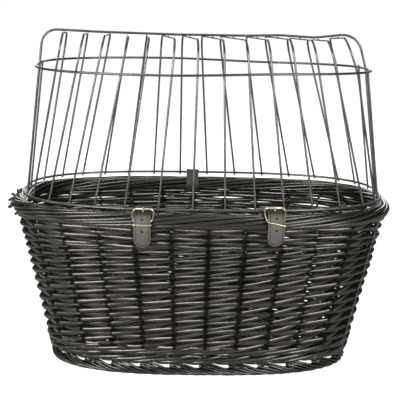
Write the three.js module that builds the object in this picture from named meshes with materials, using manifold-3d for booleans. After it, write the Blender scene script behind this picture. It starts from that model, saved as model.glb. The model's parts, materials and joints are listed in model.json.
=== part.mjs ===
// Oval wicker pet basket for a bicycle carrier, with a hinged wire grille lid.
// Millimetres, +Z up, X along the basket, -Y to the front, where the two straps are.

import * as THREE from "three";
import Module from "manifold-3d";
import { mergeVertices } from "three/addons/utils/BufferGeometryUtils.js";

const wasm = await Module();
wasm.setup();

// Wicker body: outer sizes of the rim border and of the foot border
const RIM_LENGTH = 550;
const RIM_DEPTH = 350;
const FOOT_LENGTH = 0.7945 * RIM_LENGTH;
const FOOT_DEPTH = 0.7914 * RIM_DEPTH;
const BODY_HEIGHT = 237;
const PLAN_POWER = 2.66;

// Wicker construction
const STAKE_COUNT = 28;
const STAKE_DIAMETER = 5;
const WALL_THICKNESS = 9;
const WALL_SET_BACK = 6.7;
const WEAVERS = 12;
const WEAVE_ROW = 5.55;
const WEAVE_CROWDING = 0.28;
const WEAVE_CREST = 1.5;
const WEAVE_MIDWAY = 1.9;
const WEAVE_HOLLOW = 3;
const WALE_ROW = 5.7;
const WALE_RELIEF = 1.2;
const TOP_WALE_ROWS = 5;
const BOTTOM_WALE_ROWS = 4;
const BORDER_RADIUS = 10.2;
const BORDER_RELIEF = 0.8;
const FOOT_RADIUS = 7.1;
const FOOT_RELIEF = 0.6;
const FOOT_GAP = 4.5;

// Woven base and the sticks that run through it
const BASE_THICKNESS = 10;
const BASE_RINGS = 6;
const BASE_RELIEF = 0.9;
const BASE_STICK_COUNT = 9;
const BASE_STICK_DIAMETER = 5;

// Wire grille
const WIRE_DIAMETER = 3;
const HOOP_DIAMETER = 3.5;
const LOWER_HOOP_INSET = 16;
const LOWER_HOOP_LENGTH = RIM_LENGTH - 2 * LOWER_HOOP_INSET;
const LOWER_HOOP_DEPTH = RIM_DEPTH - 2 * LOWER_HOOP_INSET + 1;
const LOWER_HOOP_SHIFT = 2;
const UPPER_HOOP_LENGTH = LOWER_HOOP_LENGTH - 38.4;
const UPPER_HOOP_DEPTH = LOWER_HOOP_DEPTH - 13;
const UPPER_HOOP_HEIGHT = 181;
const UPPER_HOOP_TWIST = 4;
const RIDGE_HEIGHT = 227.5;
const RIDGE_LEFT_BEND = 22;
const RIDGE_RIGHT_BEND = 28;
const RIDGE_LEFT_RISE = 4;
const RIDGE_RIGHT_RISE = 5;
const RIDGE_RIGHT_LEAN = 8;
const RIDGE_SAG = 1;
const RIDGE_DENT = 2.5;
const ARCH_COUNT = 14;
const ARCH_BEND = 24;
const ARCH_FALL = 13;
// Bent by hand, a few arches lean to one side at the top
const ARCH_STRAYS_FRONT = { 1: -2, 4: 3, 6: 3, 7: 1, 8: 2, 10: -3, 11: -3, 12: -2, 13: -2 };
const ARCH_STRAYS_BACK = { 3: 4, 6: -5, 9: -6, 11: -4, 12: -2, 13: -3, 14: 5 };
const LAST_ARCH_LEAN_FRONT = 9;
const LAST_ARCH_LEAN_BACK = 5;
const LAST_ARCH_LEAN_BEND = 90;
const ARCH_FOOT_REACH = LOWER_HOOP_LENGTH / 2 - 15;
const ARCH_FOOT_CROWDING = 0.216;
const ARCH_TOP_REACH = UPPER_HOOP_LENGTH / 2 - 42.8;
const ARCH_RIGHT_PINCH = 6.5;
const WIRE_END = 3;
const WELD_GAP = 0.5;
const END_WIRE_OFFSET = 45;
const LEFT_BACK_WIRE_OFFSET = 30;

// Leather: back hinge loop, front straps and buckle tabs
const HINGE_X = -9;
const HINGE_WIDTH = 19;
const HINGE_LEATHER = 1.8;
const HINGE_LIFT = 4.2;
const STRAP_LEFT_X = -81.5;
const STRAP_RIGHT_X = 94.5;
const STRAP_WIDTH = 23;
const STRAP_LEATHER = 2;
const STRAP_TAIL = 36;
const TAB_WIDTH = 18;
const TAB_LEATHER = 1.8;
const TAB_DROP = 19.5;
const TAB_TAIL = 17;
const HOLE_DIAMETER = 2.8;
const HOLE_SPACING = 16;

// Buckles
const BUCKLE_WIDTH = 28;
const BUCKLE_HEIGHT = 18.5;
const BUCKLE_BAR = 2.4;
const BUCKLE_TOP_BAR = 3.2;
const BUCKLE_TOP_BEND = 4.2;
const BUCKLE_HEEL_WIDTH = 24;
const BUCKLE_HEEL_BEND = 2.6;
const BUCKLE_LEAN = 38.4;
const BUCKLE_FORWARD = 16;
const BUCKLE_UP_LEFT = 2;
const BUCKLE_UP_RIGHT = 5.5;
const PRONG_DIAMETER = 2;
const PRONG_EYE_WALL = 1.8;
const PRONG_EYE_LENGTH = 2.8;
const PRONG_OVERHANG = 1.8;
const KEEPER_WIRE = 1.5;
const KEEPER_PLAY = 0.45;
const KEEPER_DROP = 4.2;
const KEEPER_TILT_RIGHT = 13;
const RIVET_HEAD = 8;
const RIVET_SHANK = 3.2;

// Clearances
const SEAT = 0.3;
const LOOP_SEAT = 0.5;
const LOOP_CLEARANCE = 0.7;
const SIDE_CLEARANCE = 0.5;

// Facets
const ROUND_WIRE_SIDES = 6;
const HOOP_STATIONS = 48;
const STATIONS = STAKE_COUNT * 2;

const FRONT = -1;
const BACK = 1;

const WICKER = new THREE.MeshStandardMaterial({ color: 0x1f1b16, roughness: 0.42, metalness: 0 });
const WIRE = new THREE.MeshStandardMaterial({ color: 0x55554f, roughness: 0.38, metalness: 0.85 });
const LEATHER = new THREE.MeshStandardMaterial({ color: 0x77746a, roughness: 0.6, metalness: 0 });
const DARK_LEATHER = new THREE.MeshStandardMaterial({ color: 0x2e2b27, roughness: 0.6, metalness: 0 });
const BRASS = new THREE.MeshStandardMaterial({ color: 0xd8cf9c, roughness: 0.28, metalness: 0.95 });

// Heights of the wicker bands, from the floor up
const footTop = 2 * FOOT_RADIUS;
const wallBottom = footTop + FOOT_GAP;
const borderOuterRadius = BORDER_RADIUS + BORDER_RELIEF;
const borderZ = BODY_HEIGHT - borderOuterRadius;
const topWaleTop = borderZ - borderOuterRadius - SEAT;
const topWaleBottom = topWaleTop - TOP_WALE_ROWS * WALE_ROW;
const bottomWaleTop = wallBottom + BOTTOM_WALE_ROWS * WALE_ROW;
const borderHalfLength = RIM_LENGTH / 2 - borderOuterRadius;
const borderHalfDepth = RIM_DEPTH / 2 - borderOuterRadius;
const footHalfLength = FOOT_LENGTH / 2 - FOOT_RADIUS - FOOT_RELIEF;
const footHalfDepth = FOOT_DEPTH / 2 - FOOT_RADIUS - FOOT_RELIEF;

// Outer half-length and half-depth of the wall at a height: it tapers from the border to the foot
function wallHalfSizes(z) {
  const rise = (z - footTop / 2) / (borderZ - footTop / 2);
  return [
    THREE.MathUtils.lerp(FOOT_LENGTH / 2 - 3.8, RIM_LENGTH / 2 - WALL_SET_BACK, rise) + 1,
    THREE.MathUtils.lerp(FOOT_DEPTH / 2 - 3.8, RIM_DEPTH / 2 - WALL_SET_BACK, rise) + 1,
  ];
}

// A point of the rounded oval that every band and hoop of the basket follows
function ovalPoint(angle, halfLength, halfDepth) {
  const c = Math.cos(angle);
  const s = Math.sin(angle);
  return [
    halfLength * Math.sign(c) * Math.abs(c) ** (2 / PLAN_POWER),
    halfDepth * Math.sign(s) * Math.abs(s) ** (2 / PLAN_POWER),
  ];
}

// The other coordinate of the oval at a given reach along one axis
function ovalAcross(reach, halfAlong, halfAcross) {
  const share = Math.min(1, Math.abs(reach / halfAlong) ** PLAN_POWER);
  return halfAcross * (1 - share) ** (1 / PLAN_POWER);
}

// Angles that divide the oval into equal lengths, counted from the middle of the front
function evenAngles(count, halfLength, halfDepth) {
  const fine = 1440;
  const start = -Math.PI / 2;
  const lengths = [0];
  let previous = ovalPoint(start, halfLength, halfDepth);
  for (let i = 1; i <= fine; i += 1) {
    const point = ovalPoint(start + (i * 2 * Math.PI) / fine, halfLength, halfDepth);
    lengths.push(lengths[i - 1] + Math.hypot(point[0] - previous[0], point[1] - previous[1]));
    previous = point;
  }
  const angles = [];
  let k = 0;
  for (let i = 0; i < count; i += 1) {
    const target = (lengths[fine] * i) / count;
    while (lengths[k + 1] < target) k += 1;
    const part = (target - lengths[k]) / (lengths[k + 1] - lengths[k]);
    angles.push(start + ((k + part) * 2 * Math.PI) / fine);
  }
  return angles;
}

// A BufferGeometry from points and triangles, turned so that its faces point out
function closedGeometry(points, triangles) {
  let volume = 0;
  const p = (i) => points[i];
  for (const [a, b, c] of triangles) {
    volume += p(a)[0] * (p(b)[1] * p(c)[2] - p(b)[2] * p(c)[1]);
    volume -= p(a)[1] * (p(b)[0] * p(c)[2] - p(b)[2] * p(c)[0]);
    volume += p(a)[2] * (p(b)[0] * p(c)[1] - p(b)[1] * p(c)[0]);
  }
  const geometry = new THREE.BufferGeometry();
  geometry.setAttribute("position", new THREE.Float32BufferAttribute(points.flat(), 3));
  geometry.setIndex(triangles.flatMap(([a, b, c]) => (volume > 0 ? [a, b, c] : [a, c, b])));
  return geometry;
}

// Quads between neighbouring sections of a loft, each split along the same diagonal
function sideTriangles(sectionCount, pointCount, closed) {
  const triangles = [];
  const last = closed ? sectionCount : sectionCount - 1;
  for (let i = 0; i < last; i += 1) {
    const here = i * pointCount;
    const next = ((i + 1) % sectionCount) * pointCount;
    for (let j = 0; j < pointCount; j += 1) {
      const up = (j + 1) % pointCount;
      triangles.push([here + j, next + j, next + up], [here + j, next + up, here + up]);
    }
  }
  return triangles;
}

// A band that closes on itself, such as a hoop or a woven band
function closedLoft(sections) {
  return closedGeometry(sections.flat(), sideTriangles(sections.length, sections[0].length, true));
}

// A bar with a flat end at its first and last section
function openLoft(sections) {
  const count = sections[0].length;
  const triangles = sideTriangles(sections.length, count, false);
  const end = (sections.length - 1) * count;
  for (let j = 1; j < count - 1; j += 1) {
    triangles.push([0, j, j + 1], [end, end + j + 1, end + j]);
  }
  return closedGeometry(sections.flat(), triangles);
}

// Joining and cutting of closed geometries
function toSolid(geometry) {
  const bare = geometry.clone();
  bare.deleteAttribute("normal");
  bare.deleteAttribute("uv");
  const merged = mergeVertices(bare, 1e-4);
  return new wasm.Manifold(new wasm.Mesh({
    numProp: 3,
    vertProperties: new Float32Array(merged.attributes.position.array),
    triVerts: new Uint32Array(merged.index.array),
  }));
}

function fromSolid(solid) {
  const mesh = solid.getMesh();
  const geometry = new THREE.BufferGeometry();
  geometry.setAttribute("position", new THREE.Float32BufferAttribute(mesh.vertProperties, 3));
  geometry.setIndex(Array.from(mesh.triVerts));
  return geometry;
}

function cut(geometry, cutters) {
  return fromSolid(cutters.reduce((solid, cutter) => solid.subtract(toSolid(cutter)), toSolid(geometry)));
}

function join(geometries) {
  return fromSolid(geometries.map(toSolid).reduce((solid, other) => solid.add(other)));
}

// Moves a geometry, after turning it about X
function placed(geometry, x, y, z, turnX = 0) {
  return geometry.rotateX(turnX).translate(x, y, z);
}

// A centre line that passes through its own points, with even tangents at the bends
class BentLine extends THREE.Curve {
  constructor(points) {
    super();
    this.points = points;
  }

  getPoint(t) {
    const place = t * (this.points.length - 1);
    const i = Math.min(Math.floor(place), this.points.length - 2);
    return this.points[i].clone().lerp(this.points[i + 1], place - i);
  }

  getPointAt(u) {
    return this.getPoint(u);
  }

  getTangentAt(u) {
    const i = Math.round(u * (this.points.length - 1));
    const tangent = new THREE.Vector3();
    if (i > 0) tangent.add(this.points[i].clone().sub(this.points[i - 1]).normalize());
    if (i < this.points.length - 1) tangent.add(this.points[i + 1].clone().sub(this.points[i]).normalize());
    return tangent.normalize();
  }
}

// Corner points joined by straight runs, with each inner corner bent to its own radius
function bentPoints(corners, radii, steps) {
  const points = [corners[0].clone()];
  for (let i = 1; i < corners.length - 1; i += 1) {
    const radius = radii[i - 1];
    const toBack = corners[i - 1].clone().sub(corners[i]).normalize();
    const toNext = corners[i + 1].clone().sub(corners[i]).normalize();
    const half = toBack.angleTo(toNext) / 2;
    const inward = toBack.clone().add(toNext).normalize();
    const centre = inward.multiplyScalar(radius / Math.sin(half)).add(corners[i]);
    const first = toBack.multiplyScalar(radius / Math.tan(half)).add(corners[i]).sub(centre);
    const last = toNext.multiplyScalar(radius / Math.tan(half)).add(corners[i]).sub(centre);
    const sweep = first.angleTo(last);
    for (let s = 0; s <= steps; s += 1) {
      const a = Math.sin((1 - s / steps) * sweep) / Math.sin(sweep);
      const b = Math.sin((s / steps) * sweep) / Math.sin(sweep);
      points.push(centre.clone().addScaledVector(first, a).addScaledVector(last, b));
    }
  }
  points.push(corners[corners.length - 1].clone());
  return points;
}

function roundProfile(diameter, sides) {
  const corners = [];
  for (let i = 0; i < sides; i += 1) {
    const angle = ((i + 0.5) * 2 * Math.PI) / sides;
    corners.push(new THREE.Vector2(Math.cos(angle) * diameter / 2, Math.sin(angle) * diameter / 2));
  }
  return new THREE.Shape(corners);
}

// A round wire with two cut ends, along a bent centre line
function openWire(points, diameter, sides = ROUND_WIRE_SIDES) {
  return new THREE.ExtrudeGeometry(roundProfile(diameter, sides), {
    steps: points.length - 1,
    extrudePath: new BentLine(points),
    bevelEnabled: false,
  });
}

// A round wire whose ends meet, along a flat closed line of points square to a normal
function closedWire(points, diameter, normal, sides = ROUND_WIRE_SIDES) {
  const count = points.length;
  const sections = points.map((point, i) => {
    const along = points[(i + 1) % count].clone().sub(point).normalize();
    along.add(point.clone().sub(points[(i + count - 1) % count]).normalize()).normalize();
    const out = along.clone().cross(normal).normalize();
    const section = [];
    for (let j = 0; j < sides; j += 1) {
      const angle = ((j + 0.5) * 2 * Math.PI) / sides;
      section.push(point.clone()
        .addScaledVector(out, Math.cos(angle) * diameter / 2)
        .addScaledVector(normal, Math.sin(angle) * diameter / 2)
        .toArray());
    }
    return section;
  });
  return closedLoft(sections);
}

// A flat strip of leather along a line in the YZ plane, with a rounded first end where asked
function leatherStrip(line, width, thickness, roundedTip = false) {
  const radius = width / 2;
  let run = 0;
  const sections = line.map((point, i) => {
    if (i > 0) run += point.distanceTo(line[i - 1]);
    const ahead = line[Math.min(i + 1, line.length - 1)].clone().sub(line[Math.max(i - 1, 0)]).normalize();
    const side = new THREE.Vector2(-ahead.y, ahead.x).multiplyScalar(thickness / 2);
    const inside = Math.max(0, radius - run - radius * 0.05);
    const half = roundedTip ? Math.sqrt(radius ** 2 - inside ** 2) : radius;
    return [
      [-half, point.x - side.x, point.y - side.y],
      [half, point.x - side.x, point.y - side.y],
      [half, point.x + side.x, point.y + side.y],
      [-half, point.x + side.x, point.y + side.y],
    ];
  });
  return openLoft(sections);
}

// Points of a circle in the YZ plane, as the line of a strip that wraps round a bar
function wrapPoints(centreY, centreZ, radius, fromDegrees, toDegrees, steps) {
  const points = [];
  for (let i = 0; i <= steps; i += 1) {
    const angle = THREE.MathUtils.degToRad(THREE.MathUtils.lerp(fromDegrees, toDegrees, i / steps));
    points.push(new THREE.Vector2(centreY + radius * Math.cos(angle), centreZ + radius * Math.sin(angle)));
  }
  return points;
}

const basket = new THREE.Group();

function addPiece(parent, name, geometry, material) {
  const piece = new THREE.Mesh(geometry, material);
  piece.name = name;
  parent.add(piece);
  return piece;
}

// Wicker bands
const stationAngles = evenAngles(STATIONS, borderHalfLength, borderHalfDepth);

// One band of the wall: relief on its outer face by row and station, plain inside
function wallBand(bottom, top, rows, relief, rise = (station, row) => row / rows) {
  return closedLoft(stationAngles.map((angle, i) => {
    const section = [];
    for (let row = 0; row <= rows; row += 1) {
      const z = THREE.MathUtils.lerp(bottom, top, rise(i, row));
      const [halfLength, halfDepth] = wallHalfSizes(z);
      const out = relief(i, row);
      section.push([...ovalPoint(angle, halfLength + out, halfDepth + out), z]);
    }
    for (const z of [top, bottom]) {
      const [halfLength, halfDepth] = wallHalfSizes(z);
      section.push([...ovalPoint(angle, halfLength - WALL_THICKNESS, halfDepth - WALL_THICKNESS), z]);
    }
    return section;
  }));
}

// Rods climb as they go round the wall, and crowd together towards the top
const climbAt = (station) => (WEAVERS / STAKE_COUNT) * (station / 2);

function weaveRise(rows) {
  return (station, row) => {
    const climb = climbAt(station);
    const inside = row > 0 && row < rows;
    const share = (inside ? row + climb - Math.round(climb) : row) / rows;
    return (share - (WEAVE_CROWDING * share ** 4) / 4) / (1 - WEAVE_CROWDING / 4);
  };
}

// Every rod goes in front of one stake and behind the next, and the row above does the reverse
function plainWeave(rows) {
  return (station, row) => {
    const atStake = station % 2 === 0 && row > 0 && row < rows;
    if (!atStake) return -WEAVE_MIDWAY;
    const inFront = (station / 2 + row + Math.round(climbAt(station))) % 2 === 0;
    return inFront ? WEAVE_CREST : -WEAVE_HOLLOW;
  };
}

// Waling strokes climb one row per station, so the ridges slant
function waleWeave(station, row) {
  return WALE_RELIEF * ((station + row) % 2 === 0 ? 1 : -1);
}

// A rolled border of rods: ridges that wind slowly round its section
function rodBorder(halfLength, halfDepth, centreZ, radius, relief, flatFoot) {
  const sides = 8;
  return closedLoft(stationAngles.map((angle, i) => {
    const section = [];
    for (let j = 0; j < sides; j += 1) {
      const turn = ((j + 0.5) * 2 * Math.PI) / sides;
      const reach = radius + relief * ((i + j) % 2 === 0 ? 1 : -1);
      const out = reach * Math.cos(turn);
      const low = flatFoot && Math.sin(turn) < -0.9;
      const z = low ? centreZ - radius : centreZ + reach * Math.sin(turn);
      section.push([...ovalPoint(angle, halfLength + out, halfDepth + out), z]);
    }
    return section;
  }));
}

// Stake ends that stand between the foot border and the wall
function stakeStubs() {
  const stubs = [];
  const [halfLength, halfDepth] = wallHalfSizes(wallBottom);
  const height = wallBottom - SEAT - footTop / 2;
  for (let i = 0; i < STATIONS; i += 2) {
    const middle = WALL_THICKNESS / 2;
    const [x, y] = ovalPoint(stationAngles[i], halfLength - middle, halfDepth - middle);
    const stub = new THREE.CylinderGeometry(STAKE_DIAMETER / 2, STAKE_DIAMETER / 2, height, 4);
    stubs.push(placed(stub, x, y, footTop / 2 + height / 2, Math.PI / 2));
  }
  return stubs;
}

function addWicker() {
  const foot = rodBorder(footHalfLength, footHalfDepth, FOOT_RADIUS, FOOT_RADIUS, FOOT_RELIEF, true);
  addPiece(basket, "foot_border", join([foot, ...stakeStubs()]), WICKER);
  addPiece(basket, "bottom_wale", wallBand(wallBottom, bottomWaleTop, BOTTOM_WALE_ROWS, waleWeave), WICKER);
  const weaveBottom = bottomWaleTop + SEAT;
  const weaveTop = topWaleBottom - SEAT;
  const rows = Math.round((weaveTop - weaveBottom) / WEAVE_ROW);
  const weave = wallBand(weaveBottom, weaveTop, rows, plainWeave(rows), weaveRise(rows));
  addPiece(basket, "wall_weave", weave, WICKER);
  addPiece(basket, "top_wale", topWale(), WICKER);
  const border = rodBorder(borderHalfLength, borderHalfDepth, borderZ, BORDER_RADIUS, BORDER_RELIEF, false);
  addPiece(basket, "rim_border", border, WICKER);
}

// The upper wale has a way through it for each buckle tab, its rivet and the hinge loop
function topWale() {
  const cutters = [];
  const through = 4 * WALL_THICKNESS;
  for (const x of [STRAP_LEFT_X, STRAP_RIGHT_X]) {
    const play = 2 * SIDE_CLEARANCE;
    const slot = new THREE.BoxGeometry(TAB_WIDTH + play, through, TAB_LEATHER + play);
    cutters.push(slot.translate(0, wallFace(x, tabSlotZ), tabSlotZ).applyMatrix4(atFrontRim(x)));
    const bore = new THREE.CylinderGeometry(RIVET_SHANK / 2 + SEAT, RIVET_SHANK / 2 + SEAT, through, 8);
    cutters.push(bore.applyMatrix4(atRivet(x)).applyMatrix4(atFrontRim(x)));
  }
  const notchDepth = HINGE_LEATHER + 2 * SIDE_CLEARANCE;
  const notch = new THREE.BoxGeometry(HINGE_WIDTH + 2 * SIDE_CLEARANCE, through, 2 * notchDepth);
  cutters.push(notch.translate(HINGE_X, BACK * wallHalfSizes(topWaleTop)[1], topWaleTop));
  return cut(wallBand(topWaleBottom, topWaleTop, TOP_WALE_ROWS, waleWeave), cutters);
}

// Woven base: shallow relief above, flat below, bored for the cross sticks
function addBase() {
  const [wallHalfLength, wallHalfDepth] = wallHalfSizes(wallBottom);
  const halfLength = wallHalfLength - WALL_THICKNESS - SEAT - 0.5;
  const halfDepth = wallHalfDepth - WALL_THICKNESS - SEAT - 0.5;
  const bottom = footTop + SEAT;
  const top = bottom + BASE_THICKNESS;
  const points = [];
  const triangles = [];
  for (let ring = 0; ring < BASE_RINGS; ring += 1) {
    const share = 1 - ring / BASE_RINGS;
    stationAngles.forEach((angle, i) => {
      const [x, y] = ovalPoint(angle, halfLength - (1 - share) * halfDepth, halfDepth * share);
      const lift = BASE_RELIEF * ((i + ring) % 2 === 0 ? 0 : -1);
      points.push([x, y, top + lift]);
    });
  }
  stationAngles.forEach((angle) => points.push([...ovalPoint(angle, halfLength, halfDepth), bottom]));
  const under = BASE_RINGS * STATIONS;
  const topMiddle = points.push([0, 0, top]) - 1;
  const bottomMiddle = points.push([0, 0, bottom]) - 1;
  for (let i = 0; i < STATIONS; i += 1) {
    const next = (i + 1) % STATIONS;
    for (let ring = 0; ring < BASE_RINGS - 1; ring += 1) {
      const outer = ring * STATIONS;
      const inner = outer + STATIONS;
      triangles.push([outer + i, outer + next, inner + next], [outer + i, inner + next, inner + i]);
    }
    const last = (BASE_RINGS - 1) * STATIONS;
    triangles.push([last + i, last + next, topMiddle]);
    triangles.push([under + i, next, i], [under + i, under + next, next]);
    triangles.push([under + next, under + i, bottomMiddle]);
  }
  const stickZ = bottom + BASE_THICKNESS / 2 - BASE_RELIEF / 2;
  const spacing = (2 * halfLength) / (BASE_STICK_COUNT + 1);
  const bores = [];
  for (let i = 1; i <= BASE_STICK_COUNT; i += 1) {
    const x = -halfLength + i * spacing;
    const radius = BASE_STICK_DIAMETER / 2;
    const reach = ovalAcross(Math.abs(x) + radius, halfLength, halfDepth) - SEAT;
    const bore = new THREE.CylinderGeometry(radius + SEAT, radius + SEAT, 4 * halfDepth, 6);
    bores.push(bore.translate(x, 0, stickZ));
    const stick = new THREE.CylinderGeometry(radius, radius, 2 * reach, 6).translate(x, 0, stickZ);
    addPiece(basket, `base_stick_${i}`, stick, WICKER);
  }
  addPiece(basket, "base_mat", cut(closedGeometry(points, triangles), bores), WICKER);
}

// Grille lid. Its group's origin is the hinge line in the back of the lower hoop
const lowerHalfLength = LOWER_HOOP_LENGTH / 2;
const lowerHalfDepth = LOWER_HOOP_DEPTH / 2;
const upperHalfLength = UPPER_HOOP_LENGTH / 2;
const upperHalfDepth = UPPER_HOOP_DEPTH / 2;
const hoopRadius = HOOP_DIAMETER / 2;
const wireInset = hoopRadius + WIRE_DIAMETER / 2 + WELD_GAP;
const hoopFrontY = -lowerHalfDepth + 1.5;
const hingeY = hoopFrontY + LOWER_HOOP_DEPTH;

// The front of the hoop lies on the straps' loops, and those lie on the border
const frontOff = borderHalfDepth + hoopFrontY;
const borderTopAtHoop = borderZ + Math.sqrt(borderOuterRadius ** 2 - frontOff ** 2);
const hoopFrontZ = borderTopAtHoop + LOOP_SEAT + STRAP_LEATHER + LOOP_CLEARANCE + hoopRadius;
const hingeZ = hoopFrontZ + HINGE_LIFT;
const lidTilt = Math.asin(HINGE_LIFT / LOWER_HOOP_DEPTH);

const lid = new THREE.Group();
lid.position.set(0, hingeY, hingeZ);
lid.rotation.x = lidTilt;
basket.add(lid);
const grille = new THREE.Group();
grille.position.y = -lowerHalfDepth;
lid.add(grille);

// A hoop, whose right half may be twisted a little out of its plane
function hoopGeometry(halfLength, halfDepth, shift, z, twist = 0) {
  const points = evenAngles(HOOP_STATIONS, halfLength, halfDepth)
    .map((angle) => ovalPoint(angle, halfLength, halfDepth))
    .map(([x, y]) => {
      const share = THREE.MathUtils.smoothstep(x, -halfLength / 4, halfLength / 2);
      return new THREE.Vector3(x + shift, y, z - (twist * share * y) / halfDepth);
    });
  return closedWire(points, HOOP_DIAMETER, new THREE.Vector3(0, 0, 1));
}

// Sizes of the oval that the wires stand on, just inside both hoops, and how far it is off centre
function wireOval(z) {
  const share = THREE.MathUtils.clamp(z / UPPER_HOOP_HEIGHT, 0, 1);
  return {
    halfLength: THREE.MathUtils.lerp(lowerHalfLength, upperHalfLength, share) - wireInset,
    halfDepth: THREE.MathUtils.lerp(lowerHalfDepth, upperHalfDepth, share) - wireInset,
    shift: THREE.MathUtils.lerp(LOWER_HOOP_SHIFT, 0, share),
  };
}

function insideHoop(x, z, side) {
  const { halfLength, halfDepth, shift } = wireOval(z);
  return new THREE.Vector3(x, side * ovalAcross(x - shift, halfLength, halfDepth), z);
}

function insideHoopEnd(y, z, end) {
  const { halfLength, halfDepth, shift } = wireOval(z);
  return new THREE.Vector3(shift + end * ovalAcross(y, halfDepth, halfLength), y, z);
}

// The point reached at a height by a straight wire through two others
function carriedOn(low, high, z) {
  return low.clone().lerp(high, (z - low.z) / (high.z - low.z));
}

// Hand-set spacing: the arches' feet crowd at the ends, and each leg strays a little
function archFoot(place, side) {
  const even = ARCH_FOOT_REACH * ((1 + ARCH_FOOT_CROWDING) * place - ARCH_FOOT_CROWDING * place ** 3);
  const stray = side === FRONT
    ? 3.5 + 3.5 * Math.cos(2 * Math.PI * (place + 1)) - 2.5 * Math.sin(1.2 * Math.PI * place)
    : -1.5 + 9 * Math.cos(0.867 * Math.PI * (place + 0.85));
  const pinch = ARCH_RIGHT_PINCH * THREE.MathUtils.smoothstep(place, 0.85, 1);
  return even + stray - pinch;
}

function archTop(place, side) {
  const stray = side === FRONT
    ? 4.6 + 6.8 * Math.sin(2.9 * place) - 6 * Math.exp(-(((place - 0.85) / 0.08) ** 2))
    : -5.5 - 10 * Math.exp(-(((place - 0.04) / 0.3) ** 2));
  const number = Math.round(((place + 1) / 2) * (ARCH_COUNT - 1)) + 1;
  const strays = side === FRONT ? ARCH_STRAYS_FRONT : ARCH_STRAYS_BACK;
  return ARCH_TOP_REACH * place + stray + (strays[number] ?? 0);
}

function archLean(place, side) {
  if (place < 1) return 0;
  return side === FRONT ? LAST_ARCH_LEAN_FRONT : LAST_ARCH_LEAN_BACK;
}

// The ridge wire by hand: higher at both ends, sagging in the middle, with a dent near the right end
const ridgeReach = insideHoopEnd(0, RIDGE_HEIGHT, 1).x;
const ridgeKnots = [
  [-0.95, RIDGE_LEFT_RISE],
  [-0.64, RIDGE_SAG],
  [-0.17, -RIDGE_SAG],
  [0.26, -RIDGE_SAG],
  [0.47, RIDGE_SAG / 2],
  [0.68, 0.5 - RIDGE_DENT],
].map(([share, rise]) => [share * ridgeReach, RIDGE_HEIGHT + rise]);

function ridgeZ(x) {
  const knots = [...ridgeKnots, [ridgeReach - RIDGE_RIGHT_LEAN, RIDGE_HEIGHT + RIDGE_RIGHT_RISE]];
  const next = Math.max(1, knots.findIndex((knot) => knot[0] >= x));
  const [low, high] = [knots[next - 1], knots[next]];
  return THREE.MathUtils.mapLinear(Math.max(x, low[0]), low[0], high[0], low[1], high[1]);
}

// A leg, up to the corner where it turns into its arch's crown. Crowns fall from front to back, and
// both legs of the last arch lean over above the upper hoop
function archLeg(place, side) {
  const footX = archFoot(place, side);
  const topX = archTop(place, side);
  const middleX = THREE.MathUtils.lerp(footX, topX, UPPER_HOOP_HEIGHT / RIDGE_HEIGHT);
  const foot = insideHoop(footX, 0, side);
  const middle = insideHoop(middleX, UPPER_HOOP_HEIGHT, side);
  const [frontX, backX] = [FRONT, BACK].map((each) => archTop(place, each) - archLean(place, each));
  const crownX = (frontX + backX) / 2;
  const crownZ = ridgeZ(crownX) - (HOOP_DIAMETER + WIRE_DIAMETER) / 2 - SEAT;
  const top = carriedOn(foot, middle, crownZ - (side * ARCH_FALL) / 2);
  const start = carriedOn(foot, middle, -WIRE_END);
  const leaning = archLean(place, side);
  top.x -= leaning;
  return leaning > 0 ? [start, middle, top] : [start, top];
}

// One arch: two legs, two corners and a straight crown that passes just under the ridge wire
function archGeometry(place) {
  const corners = [...archLeg(place, FRONT), ...archLeg(place, BACK).reverse()];
  const lean = corners.length > 4 ? [LAST_ARCH_LEAN_BEND] : [];
  const radii = [...lean, ARCH_BEND, ARCH_BEND, ...lean];
  return openWire(bentPoints(corners, radii, 4), WIRE_DIAMETER);
}

// The ridge wire: two legs just inside the hoops, whose right one leans in above the upper hoop
function ridgeLine() {
  const [left, right] = [-1, 1].map((end) => {
    const foot = insideHoopEnd(0, 0, end);
    const middle = insideHoopEnd(0, UPPER_HOOP_HEIGHT, end);
    const rise = end < 0 ? RIDGE_LEFT_RISE : RIDGE_RIGHT_RISE;
    return [carriedOn(foot, middle, -WIRE_END), middle, carriedOn(foot, middle, RIDGE_HEIGHT + rise)];
  });
  right[2].x -= RIDGE_RIGHT_LEAN;
  const knots = ridgeKnots.slice(1).map(([x, z]) => new THREE.Vector3(x, 0, z));
  const leftBend = bentPoints([left[0], left[2], knots[0]], [RIDGE_LEFT_BEND], 5).slice(0, -1);
  const rightBend = bentPoints([knots[knots.length - 1], right[2], right[1]], [RIDGE_RIGHT_BEND], 5).slice(1);
  return [...leftBend, ...knots, ...rightBend, right[0]];
}

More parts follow.
